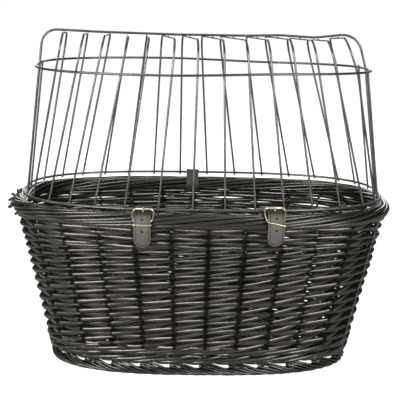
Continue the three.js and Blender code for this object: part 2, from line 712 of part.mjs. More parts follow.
function addGrille() {
  const lower = hoopGeometry(lowerHalfLength, lowerHalfDepth, LOWER_HOOP_SHIFT, 0);
  addPiece(grille, "lower_hoop", lower, WIRE);
  const upper = hoopGeometry(upperHalfLength, upperHalfDepth, 0, UPPER_HOOP_HEIGHT, UPPER_HOOP_TWIST);
  addPiece(grille, "upper_hoop", upper, WIRE);
  addPiece(grille, "ridge_wire", openWire(ridgeLine(), HOOP_DIAMETER), WIRE);
  for (let i = 0; i < ARCH_COUNT; i += 1) {
    addPiece(grille, `cross_arch_${i + 1}`, archGeometry(-1 + (2 * i) / (ARCH_COUNT - 1)), WIRE);
  }
  const endWires = [
    ["left_front_wire", -1, -END_WIRE_OFFSET],
    ["left_back_wire", -1, LEFT_BACK_WIRE_OFFSET],
    ["right_front_wire", 1, -END_WIRE_OFFSET],
    ["right_back_wire", 1, END_WIRE_OFFSET],
  ];
  for (const [name, end, y] of endWires) {
    const foot = insideHoopEnd(y, 0, end);
    const top = insideHoopEnd(y, UPPER_HOOP_HEIGHT, end);
    const ends = [carriedOn(foot, top, -WIRE_END), carriedOn(foot, top, UPPER_HOOP_HEIGHT + WIRE_END)];
    addPiece(grille, name, openWire(ends, WIRE_DIAMETER), WIRE);
  }
}

// Hinge loop: a band of leather round the back of the lower hoop and the rim border
function addHingeLoop() {
  const hoop = { y: hingeY, z: hingeZ, radius: hoopRadius + LOOP_CLEARANCE };
  const border = { y: borderHalfDepth, z: borderZ, radius: borderOuterRadius + SEAT };
  const axis = Math.atan2(hoop.z - border.z, hoop.y - border.y);
  const distance = Math.hypot(hoop.z - border.z, hoop.y - border.y);
  const spread = Math.acos((border.radius - hoop.radius) / distance);
  const outline = (target, extra) => {
    target.absarc(hoop.y, hoop.z, hoop.radius + extra, axis - spread, axis + spread, false);
    target.absarc(border.y, border.z, border.radius + extra, axis + spread, axis - spread + 2 * Math.PI, false);
    target.closePath();
    return target;
  };
  const band = outline(new THREE.Shape(), HINGE_LEATHER);
  band.holes.push(outline(new THREE.Path(), 0));
  const loop = new THREE.ExtrudeGeometry(band, { depth: HINGE_WIDTH, bevelEnabled: false, curveSegments: 8 });
  // the outline was drawn as (Y, Z), and the extrusion becomes the width along X
  loop.applyMatrix4(new THREE.Matrix4().makeBasis(
    new THREE.Vector3(0, 1, 0), new THREE.Vector3(0, 0, 1), new THREE.Vector3(1, 0, 0)));
  addPiece(basket, "hinge_loop", loop.translate(HINGE_X - HINGE_WIDTH / 2, 0, 0), DARK_LEATHER);
}

// A strap and its buckle are set out from the border's centre line (Y = 0 there, inward is +Y).
// This puts them where the front of the border is, square to it
function atFrontRim(x) {
  const step = 1;
  const y = -ovalAcross(x, borderHalfLength, borderHalfDepth);
  const beside = -ovalAcross(x + step, borderHalfLength, borderHalfDepth);
  const turned = new THREE.Matrix4().makeRotationZ(Math.atan2(beside - y, step));
  return turned.setPosition(x, y, 0);
}

// How far a face of the wall stands in from the border's centre line, at a place along the front
function wallFace(x, z, depth = 0) {
  const [halfLength, halfDepth] = wallHalfSizes(z);
  const face = ovalAcross(x, halfLength - depth, halfDepth - depth);
  return ovalAcross(x, borderHalfLength, borderHalfDepth) - face;
}
const wallInside = (x, z) => wallFace(x, z, WALL_THICKNESS);
const wallLean = Math.atan(wallHalfSizes(1)[1] - wallHalfSizes(0)[1]);

// Where a rivet goes through the wall: its +Y points inward, square to the leaning wall
function atRivet(x) {
  return new THREE.Matrix4().makeRotationX(wallLean).setPosition(0, wallFace(x, rivetZ), rivetZ);
}

// The heel bar stands in front of the border, and the buckle frame leans back over it
const hoopY = borderHalfDepth + hoopFrontY;
const heelY = -BUCKLE_FORWARD;
const lean = THREE.MathUtils.degToRad(BUCKLE_LEAN);
const barRadius = BUCKLE_BAR / 2;
const tabWrap = barRadius + SEAT + TAB_LEATHER / 2;
const tabSlotZ = borderZ - TAB_DROP;
const rivetZ = tabSlotZ - 9;
const tabOffset = TAB_LEATHER / 2 + SIDE_CLEARANCE + 0.1;
const heelOut = tabWrap + TAB_LEATHER / 2 + SEAT + STRAP_LEATHER / 2 + 0.1;
const tailY = heelY - heelOut;

// A point of the buckle's side view: up the frame from the heel bar, and out in front of it
function atBuckle(heelZ, up, out) {
  return new THREE.Vector2(
    heelY + up * Math.sin(lean) - out * Math.cos(lean),
    heelZ + up * Math.cos(lean) + out * Math.sin(lean),
  );
}

// Where the strap crosses the prong, up the frame and out from it
const CROSSING_BELOW_BAR = 5.8;
const CROSSING_OUT = 1.8;

// Side view of a strap: tail, over the heel, in under the top bar, round the hoop and back under itself
function strapLine(heelZ) {
  const wrap = hoopRadius + LOOP_CLEARANCE + STRAP_LEATHER / 2;
  const shape = new THREE.CatmullRomCurve3([
    new THREE.Vector2(tailY + 6.2, heelZ - STRAP_TAIL),
    new THREE.Vector2(tailY + 2.7, heelZ - STRAP_TAIL * 0.72),
    new THREE.Vector2(tailY + 0.6, heelZ - STRAP_TAIL * 0.42),
    new THREE.Vector2(tailY, heelZ - KEEPER_DROP),
    atBuckle(heelZ, -1.8, heelOut - 0.3),
    atBuckle(heelZ, 3.5, heelOut),
    atBuckle(heelZ, 8.8, heelOut - 0.9),
    atBuckle(heelZ, BUCKLE_HEIGHT - CROSSING_BELOW_BAR, CROSSING_OUT),
    atBuckle(heelZ, BUCKLE_HEIGHT - 3, -1.5),
    atBuckle(heelZ, BUCKLE_HEIGHT - 0.7, -3.6),
    new THREE.Vector2(hoopY - 4.5, hoopFrontZ + wrap - 0.25),
    new THREE.Vector2(hoopY, hoopFrontZ + wrap),
  ].map((point) => new THREE.Vector3(point.x, point.y, 0)), false, "centripetal");
  const main = shape.getPoints(28).map((point) => new THREE.Vector2(point.x, point.y));
  const round = wrapPoints(hoopY, hoopFrontZ, wrap, 60, -90, 5);
  const back = [
    new THREE.Vector2(hoopY - 2.8, hoopFrontZ - 1.6),
    new THREE.Vector2(hoopY - 5.6, hoopFrontZ - 0.4),
    new THREE.Vector2(hoopY - 9, hoopFrontZ - 0.5),
  ];
  return [...main, ...round, ...back];
}

// Side view of a buckle tab: short end, over the heel bar, down, in under the border and down inside
function tabLine(x, heelZ) {
  const sillZ = tabSlotZ - tabOffset;
  return [
    new THREE.Vector2(heelY + 1.15, heelZ - 9.5),
    new THREE.Vector2(heelY + 1.3, heelZ - 6),
    new THREE.Vector2(heelY + tabWrap - 0.3, heelZ - 1.9),
    ...wrapPoints(heelY, heelZ, tabWrap, 0, 180, 8),
    new THREE.Vector2(heelY - tabWrap + 0.5, heelZ - 3),
    new THREE.Vector2(heelY - 1.15, heelZ - 6.5),
    new THREE.Vector2(heelY - 0.9, tabSlotZ + 9),
    new THREE.Vector2(heelY + 0.8, tabSlotZ + 3.5),
    new THREE.Vector2(heelY + 4.5, tabSlotZ + 0.4),
    new THREE.Vector2(heelY + 7.5, tabSlotZ),
    ...wrapPoints(wallInside(x, sillZ), sillZ, tabOffset, 90, 10, 4),
    new THREE.Vector2(wallInside(x, tabSlotZ - TAB_TAIL) + tabOffset, tabSlotZ - TAB_TAIL),
  ];
}

// Centre line of the prong in the buckle's own side view, from its eye over the top bar
function prongPoints() {
  const overBar = BUCKLE_TOP_BAR / 2 + SEAT + PRONG_DIAMETER / 2;
  return [
    new THREE.Vector3(0, -0.4, barRadius + SEAT + PRONG_EYE_WALL / 2),
    new THREE.Vector3(0, -0.9, 6),
    new THREE.Vector3(0, -overBar, BUCKLE_HEIGHT - 2.2),
    new THREE.Vector3(0, -overBar, BUCKLE_HEIGHT),
    new THREE.Vector3(0, -overBar + 0.9, BUCKLE_HEIGHT + PRONG_OVERHANG),
  ];
}

// A strap with its row of punched holes, and the hole that the prong stands in
function strapGeometry(heelZ) {
  const line = strapLine(heelZ);
  const cutters = [openWire(prongPoints(), PRONG_DIAMETER + 2 * SEAT, 8)];
  placed(cutters[0], 0, heelY, heelZ, -lean);
  const crossing = atBuckle(heelZ, BUCKLE_HEIGHT - CROSSING_BELOW_BAR, CROSSING_OUT);
  const runs = [0];
  let nearest = 0;
  line.forEach((point, i) => {
    if (i > 0) runs.push(runs[i - 1] + point.distanceTo(line[i - 1]));
    if (point.distanceTo(crossing) < line[nearest].distanceTo(crossing)) nearest = i;
  });
  for (const step of [1, 2]) {
    const target = runs[nearest] - step * HOLE_SPACING;
    const i = runs.findIndex((run) => run > target);
    const at = line[i - 1].clone().lerp(line[i], (target - runs[i - 1]) / (runs[i] - runs[i - 1]));
    const ahead = line[i].clone().sub(line[i - 1]);
    const punch = new THREE.CylinderGeometry(HOLE_DIAMETER / 2, HOLE_DIAMETER / 2, 3 * STRAP_LEATHER, 8);
    cutters.push(placed(punch, 0, at.x, at.y, Math.atan2(ahead.y, ahead.x) + Math.PI / 2));
  }
  return cut(leatherStrip(line, STRAP_WIDTH, STRAP_LEATHER, true), cutters);
}

// A tab is slit where the prong's eye sits on the heel bar, and bored for its rivet
function tabGeometry(x, heelZ) {
  const slit = new THREE.BoxGeometry(PRONG_EYE_LENGTH + 2 * SIDE_CLEARANCE, 4 * tabWrap, 2 * tabWrap + 6);
  slit.translate(0, heelY, heelZ + 1.2);
  const through = 4 * WALL_THICKNESS;
  const bore = new THREE.CylinderGeometry(RIVET_SHANK / 2 + SEAT, RIVET_SHANK / 2 + SEAT, through, 8);
  bore.applyMatrix4(atRivet(x));
  return cut(leatherStrip(tabLine(x, heelZ), TAB_WIDTH, TAB_LEATHER), [slit, bore]);
}

// The buckle frame: a bent bar, narrower at the heel, with a thicker bar at the top
function frameGeometry() {
  const half = BUCKLE_WIDTH / 2;
  const heel = BUCKLE_HEEL_WIDTH / 2;
  const middle = new THREE.Vector3();
  const corners = [[heel, 0], [half, BUCKLE_HEIGHT * 0.42], [half, BUCKLE_HEIGHT], [-half, BUCKLE_HEIGHT],
    [-half, BUCKLE_HEIGHT * 0.42], [-heel, 0]].map(([x, z]) => new THREE.Vector3(x, 0, z));
  const radii = [BUCKLE_HEEL_BEND, 12, BUCKLE_TOP_BEND, BUCKLE_TOP_BEND, 12, BUCKLE_HEEL_BEND];
  const points = bentPoints([middle, ...corners, middle], radii, 3).slice(1);
  const topLength = BUCKLE_WIDTH - 2 * BUCKLE_TOP_BEND + 0.6;
  const top = new THREE.CylinderGeometry(BUCKLE_TOP_BAR / 2, BUCKLE_TOP_BAR / 2, topLength, 8);
  top.rotateZ(Math.PI / 2).translate(0, 0, BUCKLE_HEIGHT);
  return join([closedWire(points, BUCKLE_BAR, new THREE.Vector3(0, 1, 0)), top]);
}

// The prong: an eye that turns on the heel bar, and a shank that reaches over the top bar
function prongGeometry() {
  const inner = barRadius + SEAT;
  const outer = inner + PRONG_EYE_WALL;
  const half = PRONG_EYE_LENGTH / 2;
  const profile = [[inner, -half], [outer, -half], [outer, half], [inner, half], [inner, -half]]
    .map(([radius, along]) => new THREE.Vector2(radius, along));
  const eye = new THREE.LatheGeometry(profile, 10).rotateZ(Math.PI / 2);
  return join([eye, openWire(prongPoints(), PRONG_DIAMETER, 8)]);
}

// The keeper: a flat ring of wire round the tail, the tab and its short end
function keeperGeometry(tilt) {
  const innerFront = tailY - STRAP_LEATHER / 2 - SIDE_CLEARANCE;
  const innerBack = heelY + tabWrap + TAB_LEATHER / 2 + SEAT;
  const halfX = (STRAP_WIDTH / 2 + KEEPER_PLAY) / Math.cos(tilt) + KEEPER_WIRE / 2;
  const front = innerFront - KEEPER_WIRE / 2;
  const back = innerBack + KEEPER_WIRE / 2;
  const bend = 1.6;
  const points = [];
  for (const [x, y, from] of [[halfX - bend, back - bend, 0], [-halfX + bend, back - bend, 90],
    [-halfX + bend, front + bend, 180], [halfX - bend, front + bend, 270]]) {
    for (let i = 0; i <= 3; i += 1) {
      const angle = THREE.MathUtils.degToRad(from + i * 30);
      points.push(new THREE.Vector3(x + bend * Math.cos(angle), y + bend * Math.sin(angle), 0));
    }
  }
  return closedWire(points, KEEPER_WIRE, new THREE.Vector3(0, 0, 1), 6);
}

// A tubular rivet: domed head inside, shank through tab and wale, flat head outside
function rivetGeometry(x) {
  const insideEnd = WALL_THICKNESS + tabOffset + TAB_LEATHER / 2 + SEAT;
  const outsideEnd = -WALE_RELIEF - SEAT;
  const head = RIVET_HEAD / 2;
  const length = insideEnd - outsideEnd;
  const profile = [[0, -0.9], [head, -0.9], [head, 0], [RIVET_SHANK / 2, 0], [RIVET_SHANK / 2, length],
    [head, length], [head * 0.8, length + 0.9], [head * 0.4, length + 1.4], [0, length + 1.5]]
    .map(([radius, along]) => new THREE.Vector2(radius, along));
  return new THREE.LatheGeometry(profile, 8).translate(0, outsideEnd, 0).applyMatrix4(atRivet(x));
}

function addStrapSet(side, x, buckleUp, keeperTilt) {
  const heelZ = borderZ + buckleUp;
  const set = new THREE.Group();
  set.applyMatrix4(atFrontRim(x));
  basket.add(set);
  addPiece(set, `${side}_strap`, strapGeometry(heelZ), LEATHER);
  addPiece(set, `${side}_buckle_tab`, tabGeometry(x, heelZ), LEATHER);
  addPiece(set, `${side}_tab_rivet`, rivetGeometry(x), BRASS);
  const buckle = new THREE.Group();
  buckle.position.set(0, heelY, heelZ);
  buckle.rotation.x = -lean;
  set.add(buckle);
  addPiece(buckle, `${side}_buckle_frame`, frameGeometry(), BRASS);
  addPiece(buckle, `${side}_prong`, prongGeometry(), BRASS);
  const tilt = THREE.MathUtils.degToRad(keeperTilt);
  const keeper = addPiece(set, `${side}_keeper`, keeperGeometry(tilt), BRASS);
  keeper.position.z = heelZ - KEEPER_DROP;
  keeper.rotation.y = tilt;
}

addWicker();
addBase();
addGrille();
addHingeLoop();
addStrapSet("left", STRAP_LEFT_X, BUCKLE_UP_LEFT, 0);
addStrapSet("right", STRAP_RIGHT_X, BUCKLE_UP_RIGHT, KEEPER_TILT_RIGHT);

// The origin is the middle of the space the basket takes up, on the floor
const space = new THREE.Box3().setFromObject(basket);
const middle = space.getCenter(new THREE.Vector3());
basket.position.set(-middle.x, -middle.y, -space.min.z);
basket.updateMatrixWorld(true);

export default basket;
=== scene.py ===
"""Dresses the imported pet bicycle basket: woven wicker, wire grille, leather straps and brass buckles."""

import json
import logging
import math
from contextlib import contextmanager
from dataclasses import dataclass, field
from enum import Enum
from typing import Callable, Iterator, Sequence

import bmesh
import bpy
import numpy as np
from bpy.types import Material, Node, NodeSocket, Object
from mathutils import Matrix, Vector


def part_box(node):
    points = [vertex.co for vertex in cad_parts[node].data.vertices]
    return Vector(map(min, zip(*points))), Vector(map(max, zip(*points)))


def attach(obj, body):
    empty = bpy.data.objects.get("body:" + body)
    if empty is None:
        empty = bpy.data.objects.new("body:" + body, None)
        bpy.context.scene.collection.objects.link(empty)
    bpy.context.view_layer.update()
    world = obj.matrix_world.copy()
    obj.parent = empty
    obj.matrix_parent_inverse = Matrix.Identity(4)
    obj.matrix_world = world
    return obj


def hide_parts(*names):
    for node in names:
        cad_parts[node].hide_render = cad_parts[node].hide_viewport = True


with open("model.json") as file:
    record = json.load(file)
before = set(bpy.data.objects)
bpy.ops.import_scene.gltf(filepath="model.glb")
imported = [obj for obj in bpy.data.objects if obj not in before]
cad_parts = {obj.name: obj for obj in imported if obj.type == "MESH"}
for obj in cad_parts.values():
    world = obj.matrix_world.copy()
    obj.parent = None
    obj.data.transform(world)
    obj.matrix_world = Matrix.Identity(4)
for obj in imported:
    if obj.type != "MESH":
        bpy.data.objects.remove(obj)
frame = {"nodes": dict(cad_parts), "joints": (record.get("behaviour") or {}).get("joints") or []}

LOG = logging.getLogger("pet_basket")
MM = 0.001
MERGE_DISTANCE = 0.00002
# how sharply a woven rod bends over a stake, how dark and how wide the painted shade is where it bends over
# the stake, and how varied its tone is
STAKE_BEND = 0.97
GROOVE_SHADE_DEPTH = 0.97
GROOVE_SHADE_WIDTH = 0.1
ROD_TONE = 0.55
LEAST_TONE = 0.3
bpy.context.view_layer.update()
RANDOM = np.random.default_rng(28)

Array = np.ndarray
Pair = tuple[float, float]
Triple = tuple[float, float, float]
Colour = Triple


class Side(Enum):
    """The front and the back of the grille, as the sign of Y."""

    FRONT = -1
    BACK = 1


class Hand(Enum):
    """The left and the right strap set, as seen from the front."""

    LEFT = "left"
    RIGHT = "right"


# Finishes


@dataclass
class Shader:
    """A material under construction, with its Principled node."""

    name: str
    material: Material = field(init=False)
    surface: Node = field(init=False)

    def __post_init__(self) -> None:
        """Makes the empty material."""
        self.material = bpy.data.materials.new(self.name)
        self.material.use_nodes = True
        self.surface = self.material.node_tree.nodes["Principled BSDF"]

    def feed(self, node: Node, inputs: dict[str | int, object]) -> None:
        """Gives a node its inputs.

        Args:
            node: the node.
            inputs: for each input, the output to link to it, or a constant.
        """
        for key, value in inputs.items():
            if isinstance(value, NodeSocket):
                self.material.node_tree.links.new(value, node.inputs[key])
            else:
                node.inputs[key].default_value = value

    def node(self, kind: str, inputs: dict[str | int, object], **settings: object) -> Node:
        """Adds a node.

        Args:
            kind: the node's type, without its ShaderNode prefix.
            inputs: what its inputs get.
            settings: properties to set on it.

        Returns:
            The new node.
        """
        made = self.material.node_tree.nodes.new(f"ShaderNode{kind}")
        for key, value in settings.items():
            setattr(made, key, value)
        self.feed(made, inputs)
        return made

    def coordinates(self, kind: str = "Object") -> NodeSocket:
        """The coordinates that a pattern sits on."""
        return self.node("TexCoord", {}).outputs[kind]

    def attribute(self, name: str) -> NodeSocket:
        """A number that the mesh keeps at each point."""
        return self.node("Attribute", {}, attribute_name=name).outputs["Fac"]

    def noise(self, where: NodeSocket, scale: float, detail: float = 3.0,
              stretch: Triple | None = None) -> NodeSocket:
        """Adds a noise pattern.

        Args:
            where: coordinates to read.
            scale: grain of the pattern.
            detail: octaves.
            stretch: factor on each coordinate, where the grain is drawn out.

        Returns:
            The pattern's height, from 0 to 1.
        """
        if stretch:
            where = self.node("Mapping", {"Scale": stretch, "Vector": where}).outputs["Vector"]
        return self.node("TexNoise", {"Scale": scale, "Detail": detail, "Vector": where}).outputs["Fac"]

    def ramp(self, source: NodeSocket, *stops: tuple[float, Colour]) -> NodeSocket:
        """Maps a number to a colour.

        Args:
            source: the number.
            stops: places and colours, lowest first.

        Returns:
            The colour.
        """
        made = self.node("ValToRGB", {"Fac": source})
        elements = made.color_ramp.elements
        while len(elements) < len(stops):
            elements.new(0.5)
        for element, (place, colour) in zip(elements, stops):
            element.position = place
            element.color = (*colour, 1.0)
        return made.outputs["Color"]

    def spread(self, source: NodeSocket, low: float, high: float) -> NodeSocket:
        """Maps 0 to 1 onto another range."""
        return self.node("MapRange", {"To Min": low, "To Max": high, "Value": source}).outputs["Result"]

    def math(self, operation: str, first: NodeSocket, second: object) -> NodeSocket:
        """Combines a number with another one or with a constant."""
        return self.node("Math", {0: first, 1: second}, operation=operation).outputs["Value"]

    def blend(self, *parts: tuple[NodeSocket, float]) -> NodeSocket:
        """Adds up patterns.

        Args:
            parts: each pattern with its weight.

        Returns:
            The weighted sum.
        """
        total, *others = [self.math("MULTIPLY", pattern, weight) for pattern, weight in parts]
        for other in others:
            total = self.math("ADD", total, other)
        return total

    def bump(self, height: NodeSocket, strength: float, distance: float) -> None:
        """Gives the surface a fine relief, its depth in metres."""
        made = self.node("Bump", {"Strength": strength, "Distance": distance, "Height": height})
        self.feed(self.surface, {"Normal": made.outputs["Normal"]})

    def finished(self, inputs: dict[str | int, object]) -> Material:
        """Gives the surface its inputs and hands the material over."""
        self.feed(self.surface, inputs)
        return self.material


@dataclass(frozen=True)
class WickerFinish:
    """Stained, varnished willow: near-black brown, streaked along each rod, with a soft shine."""

    name: str = "stained_wicker"
    dark: Colour = (0.0045, 0.0037, 0.0024)
    mid: Colour = (0.0092, 0.0077, 0.005)
    pale: Colour = (0.03, 0.0255, 0.0165)
    gloss: Pair = (0.2, 0.34)
    shine_rise: float = 3.5
    coat: float = 0.35

    def material(self) -> Material:
        """Builds the wicker material, which reads the rods' own length, turn and tone.

        Returns:
            The material.
        """
        shader = Shader(self.name)
        place = shader.coordinates("UV")
        tone = shader.attribute("tone")
        streaks = shader.noise(place, 2.2, 4.0, (0.55, 9.0, 1.0))
        patches = shader.noise(place, 1.1, 2.0, (0.35, 1.2, 1.0))
        mixed = shader.blend((streaks, 0.45), (tone, 0.4), (patches, 0.25))
        # a low tone is painted shade, so it also dims the specular and the coat
        shine = shader.math("MINIMUM", shader.math("MULTIPLY", tone, self.shine_rise), 1.0)
        shader.bump(shader.noise(place, 3.0, 3.0, (0.8, 16.0, 1.0)), 0.2, 0.0003)
        return shader.finished({
            "Base Color": shader.ramp(mixed, (0.2, self.dark), (0.55, self.mid), (0.92, self.pale)),
            "Roughness": shader.spread(patches, *self.gloss), "Specular IOR Level": shine,
            "Specular Tint": (1.0, 0.95, 0.85, 1.0), "Coat IOR": 1.6, "Coat Roughness": 0.2,
            "Coat Weight": shader.math("MULTIPLY", shine, self.coat)})


@dataclass(frozen=True)
class MetalFinish:
    """A metal with fine drawing marks and slight patches of wear."""

    name: str
    colour: Colour
    worn: Colour
    gloss: Pair
    metallic: float = 1.0

    def material(self) -> Material:
        """Builds the metal material, its marks on the metal itself.

        Returns:
            The material.
        """
        shader = Shader(self.name)
        place = shader.coordinates()
        patches, marks = shader.noise(place, 60.0), shader.noise(place, 700.0)
        mixed = shader.blend((patches, 0.7), (marks, 0.3))
        shader.bump(marks, 0.12, 0.0001)
        return shader.finished({
            "Base Color": shader.ramp(mixed, (0.35, self.colour), (0.75, self.worn)),
            "Roughness": shader.spread(mixed, *self.gloss), "Metallic": self.metallic})


@dataclass(frozen=True)
class LeatherFinish:
    """Smooth leather with fine pores and soft clouds of wear."""

    name: str
    face: Colour
    worn: Colour
    # colour of the painted shadow under a buckle's top bar
    stain: Colour = (0.022, 0.017, 0.011)
    gloss: Pair = (0.5, 0.66)

    def material(self) -> Material:
        """Builds the leather material, darker where shadow is painted on the piece.

        Returns:
            The material.
        """
        shader = Shader(self.name)
        place = shader.coordinates()
        clouds = shader.noise(place, 160.0)
        face = shader.ramp(clouds, (0.3, self.face), (0.75, self.worn))
        # a Mix node's colours are its inputs 6 and 7, and its output 2
        mix = shader.node("Mix", {"Factor": shader.attribute("stain"), 6: face, 7: (*self.stain, 1.0)},
                          data_type="RGBA")
        pores = shader.node("TexVoronoi", {"Scale": 1300.0, "Vector": place}).outputs["Distance"]
        shader.bump(shader.blend((pores, 0.6), (shader.noise(place, 900.0, 2.0), 1.0)), 0.25, 0.0002)
        return shader.finished({"Base Color": mix.outputs[2],
                                "Roughness": shader.spread(clouds, *self.gloss)})


@dataclass(frozen=True)
class ThreadFinish:
    """Waxed sewing thread, twisted."""

    name: str = "waxed_thread"
    # the thread's colour is near-black: dark thread, darkened further as painted shade of the sunken stitch
    # holes
    colour: Colour = (0.006, 0.0055, 0.0045)
    lit: Colour = (0.014, 0.0125, 0.01)

    def material(self) -> Material:
        """Builds the thread material.

        Returns:
            The material.
        """
        shader = Shader(self.name)
        twist = shader.node("TexWave", {"Scale": 900.0, "Vector": shader.coordinates()},
                            wave_type="BANDS", bands_direction="DIAGONAL").outputs["Fac"]
        shader.bump(twist, 0.3, 0.0001)
        return shader.finished({"Base Color": shader.ramp(twist, (0.2, self.colour), (0.9, self.lit)),
                                "Roughness": 0.75, "Specular IOR Level": 0.2})


@dataclass(frozen=True)
class FloorFinish:
    """A pale paper floor that the camera sees as white, with the basket's own soft shadow."""

    name: str = "paper_floor"
    colour: Colour = (0.46, 0.46, 0.45)
    pale: Colour = (0.52, 0.52, 0.51)
    white: float = 1.0
    mirrored: float = 0.04

    def material(self) -> Material:
        """Builds the floor material, which adds plain white for the camera and for reflections.

        Returns:
            The material.
        """
        shader = Shader(self.name)
        tint = shader.ramp(shader.noise(shader.coordinates(), 3.0), (0.0, self.colour), (1.0, self.pale))
        rays = shader.node("LightPath", {}).outputs
        seen = shader.math("MULTIPLY", rays["Is Glossy Ray"], self.mirrored)
        for ray in ("Is Camera Ray", "Is Transmission Ray"):
            seen = shader.math("MAXIMUM", rays[ray], seen)
        return shader.finished({"Base Color": tint, "Roughness": 0.9, "Emission Color": (1.0, 1.0, 1.0, 1.0),
                                "Emission Strength": shader.math("MULTIPLY", seen, self.white)})


@dataclass
class Finishes:
    """Every material of the basket, made once."""

    wicker: Material = field(default_factory=WickerFinish().material)
    wire: Material = field(default_factory=MetalFinish(
        "dark_wire", (0.11, 0.108, 0.1), (0.25, 0.245, 0.228), (0.24, 0.38), 0.85).material)
    brass: Material = field(default_factory=MetalFinish(
        "pale_brass", (0.86, 0.74, 0.44), (0.95, 0.88, 0.66), (0.26, 0.4)).material)
    strap: Material = field(default_factory=LeatherFinish(
        "taupe_leather", (0.1, 0.092, 0.074), (0.135, 0.125, 0.102)).material)
    strap_edge: Material = field(default_factory=LeatherFinish(
        "cut_taupe_leather", (0.06, 0.055, 0.042), (0.09, 0.083, 0.066)).material)
    hinge: Material = field(default_factory=LeatherFinish(
        "dark_leather", (0.03, 0.027, 0.022), (0.05, 0.045, 0.037)).material)
    hinge_edge: Material = field(default_factory=LeatherFinish(
        "cut_dark_leather", (0.016, 0.014, 0.012), (0.028, 0.025, 0.021)).material)
    thread: Material = field(default_factory=ThreadFinish().material)


# Lines and lofts


def unit(vectors: Array) -> Array:
    """Scales vectors to length one."""
    return vectors / np.maximum(np.linalg.norm(vectors, axis=-1, keepdims=True), 1e-9)


def tangents(path: Array, closed: bool) -> Array:
    """Unit vectors along a path, closed or open."""
    ahead = np.roll(path, -1, axis=0) - np.roll(path, 1, axis=0) if closed else np.gradient(path, axis=0)
    return unit(ahead)


def measured(path: Array) -> Array:
    """The distance along a line at each of its points."""
    return np.concatenate([[0.0], np.cumsum(np.linalg.norm(np.diff(path, axis=0), axis=1))])


def sampled(places: Array | float, runs: Array, values: Array) -> Array:
    """Values of a line, such as its points, at other distances along it."""
    return np.stack([np.interp(places, runs, values[:, axis]) for axis in range(values.shape[1])], axis=-1)


def evened(path: Array, step: float) -> Array:
    """The same line with its points spread evenly, about a step apart."""
    runs = measured(path)
    return sampled(np.linspace(0, runs[-1], max(2, int(round(runs[-1] / step)) + 1)), runs, path)


def arc(centre: Pair, radius: float, turn: Array) -> Array:
    """Points of a circle in a side view, at the angles given."""
    return np.column_stack([centre[0] + radius * np.cos(turn), centre[1] + radius * np.sin(turn)])


def smooth_line(knots: Sequence[Pair], steps: int) -> Array:
    """A centripetal spline through its knots.

    Args:
        knots: the points it passes through.
        steps: points made between two knots.

    Returns:
        The spline's points.
    """
    knots = np.asarray(knots, float)
    padded = np.vstack([2 * knots[0] - knots[1], knots, 2 * knots[-1] - knots[-2]])
    points = []
    for i in range(1, len(padded) - 2):
        p = padded[i - 1:i + 3]
        t = np.concatenate([[0.0], np.cumsum(np.linalg.norm(np.diff(p, axis=0), axis=1) ** 0.5)])
        for u in np.linspace(t[1], t[2], steps, endpoint=False):
            a = [((t[k + 1] - u) * p[k] + (u - t[k]) * p[k + 1]) / (t[k + 1] - t[k]) for k in range(3)]
            b = [((t[k + 2] - u) * a[k] + (u - t[k]) * a[k + 1]) / (t[k + 2] - t[k]) for k in range(2)]
            points.append(((t[2] - u) * b[0] + (u - t[1]) * b[1]) / (t[2] - t[1]))
    return np.array([*points, padded[-2]])


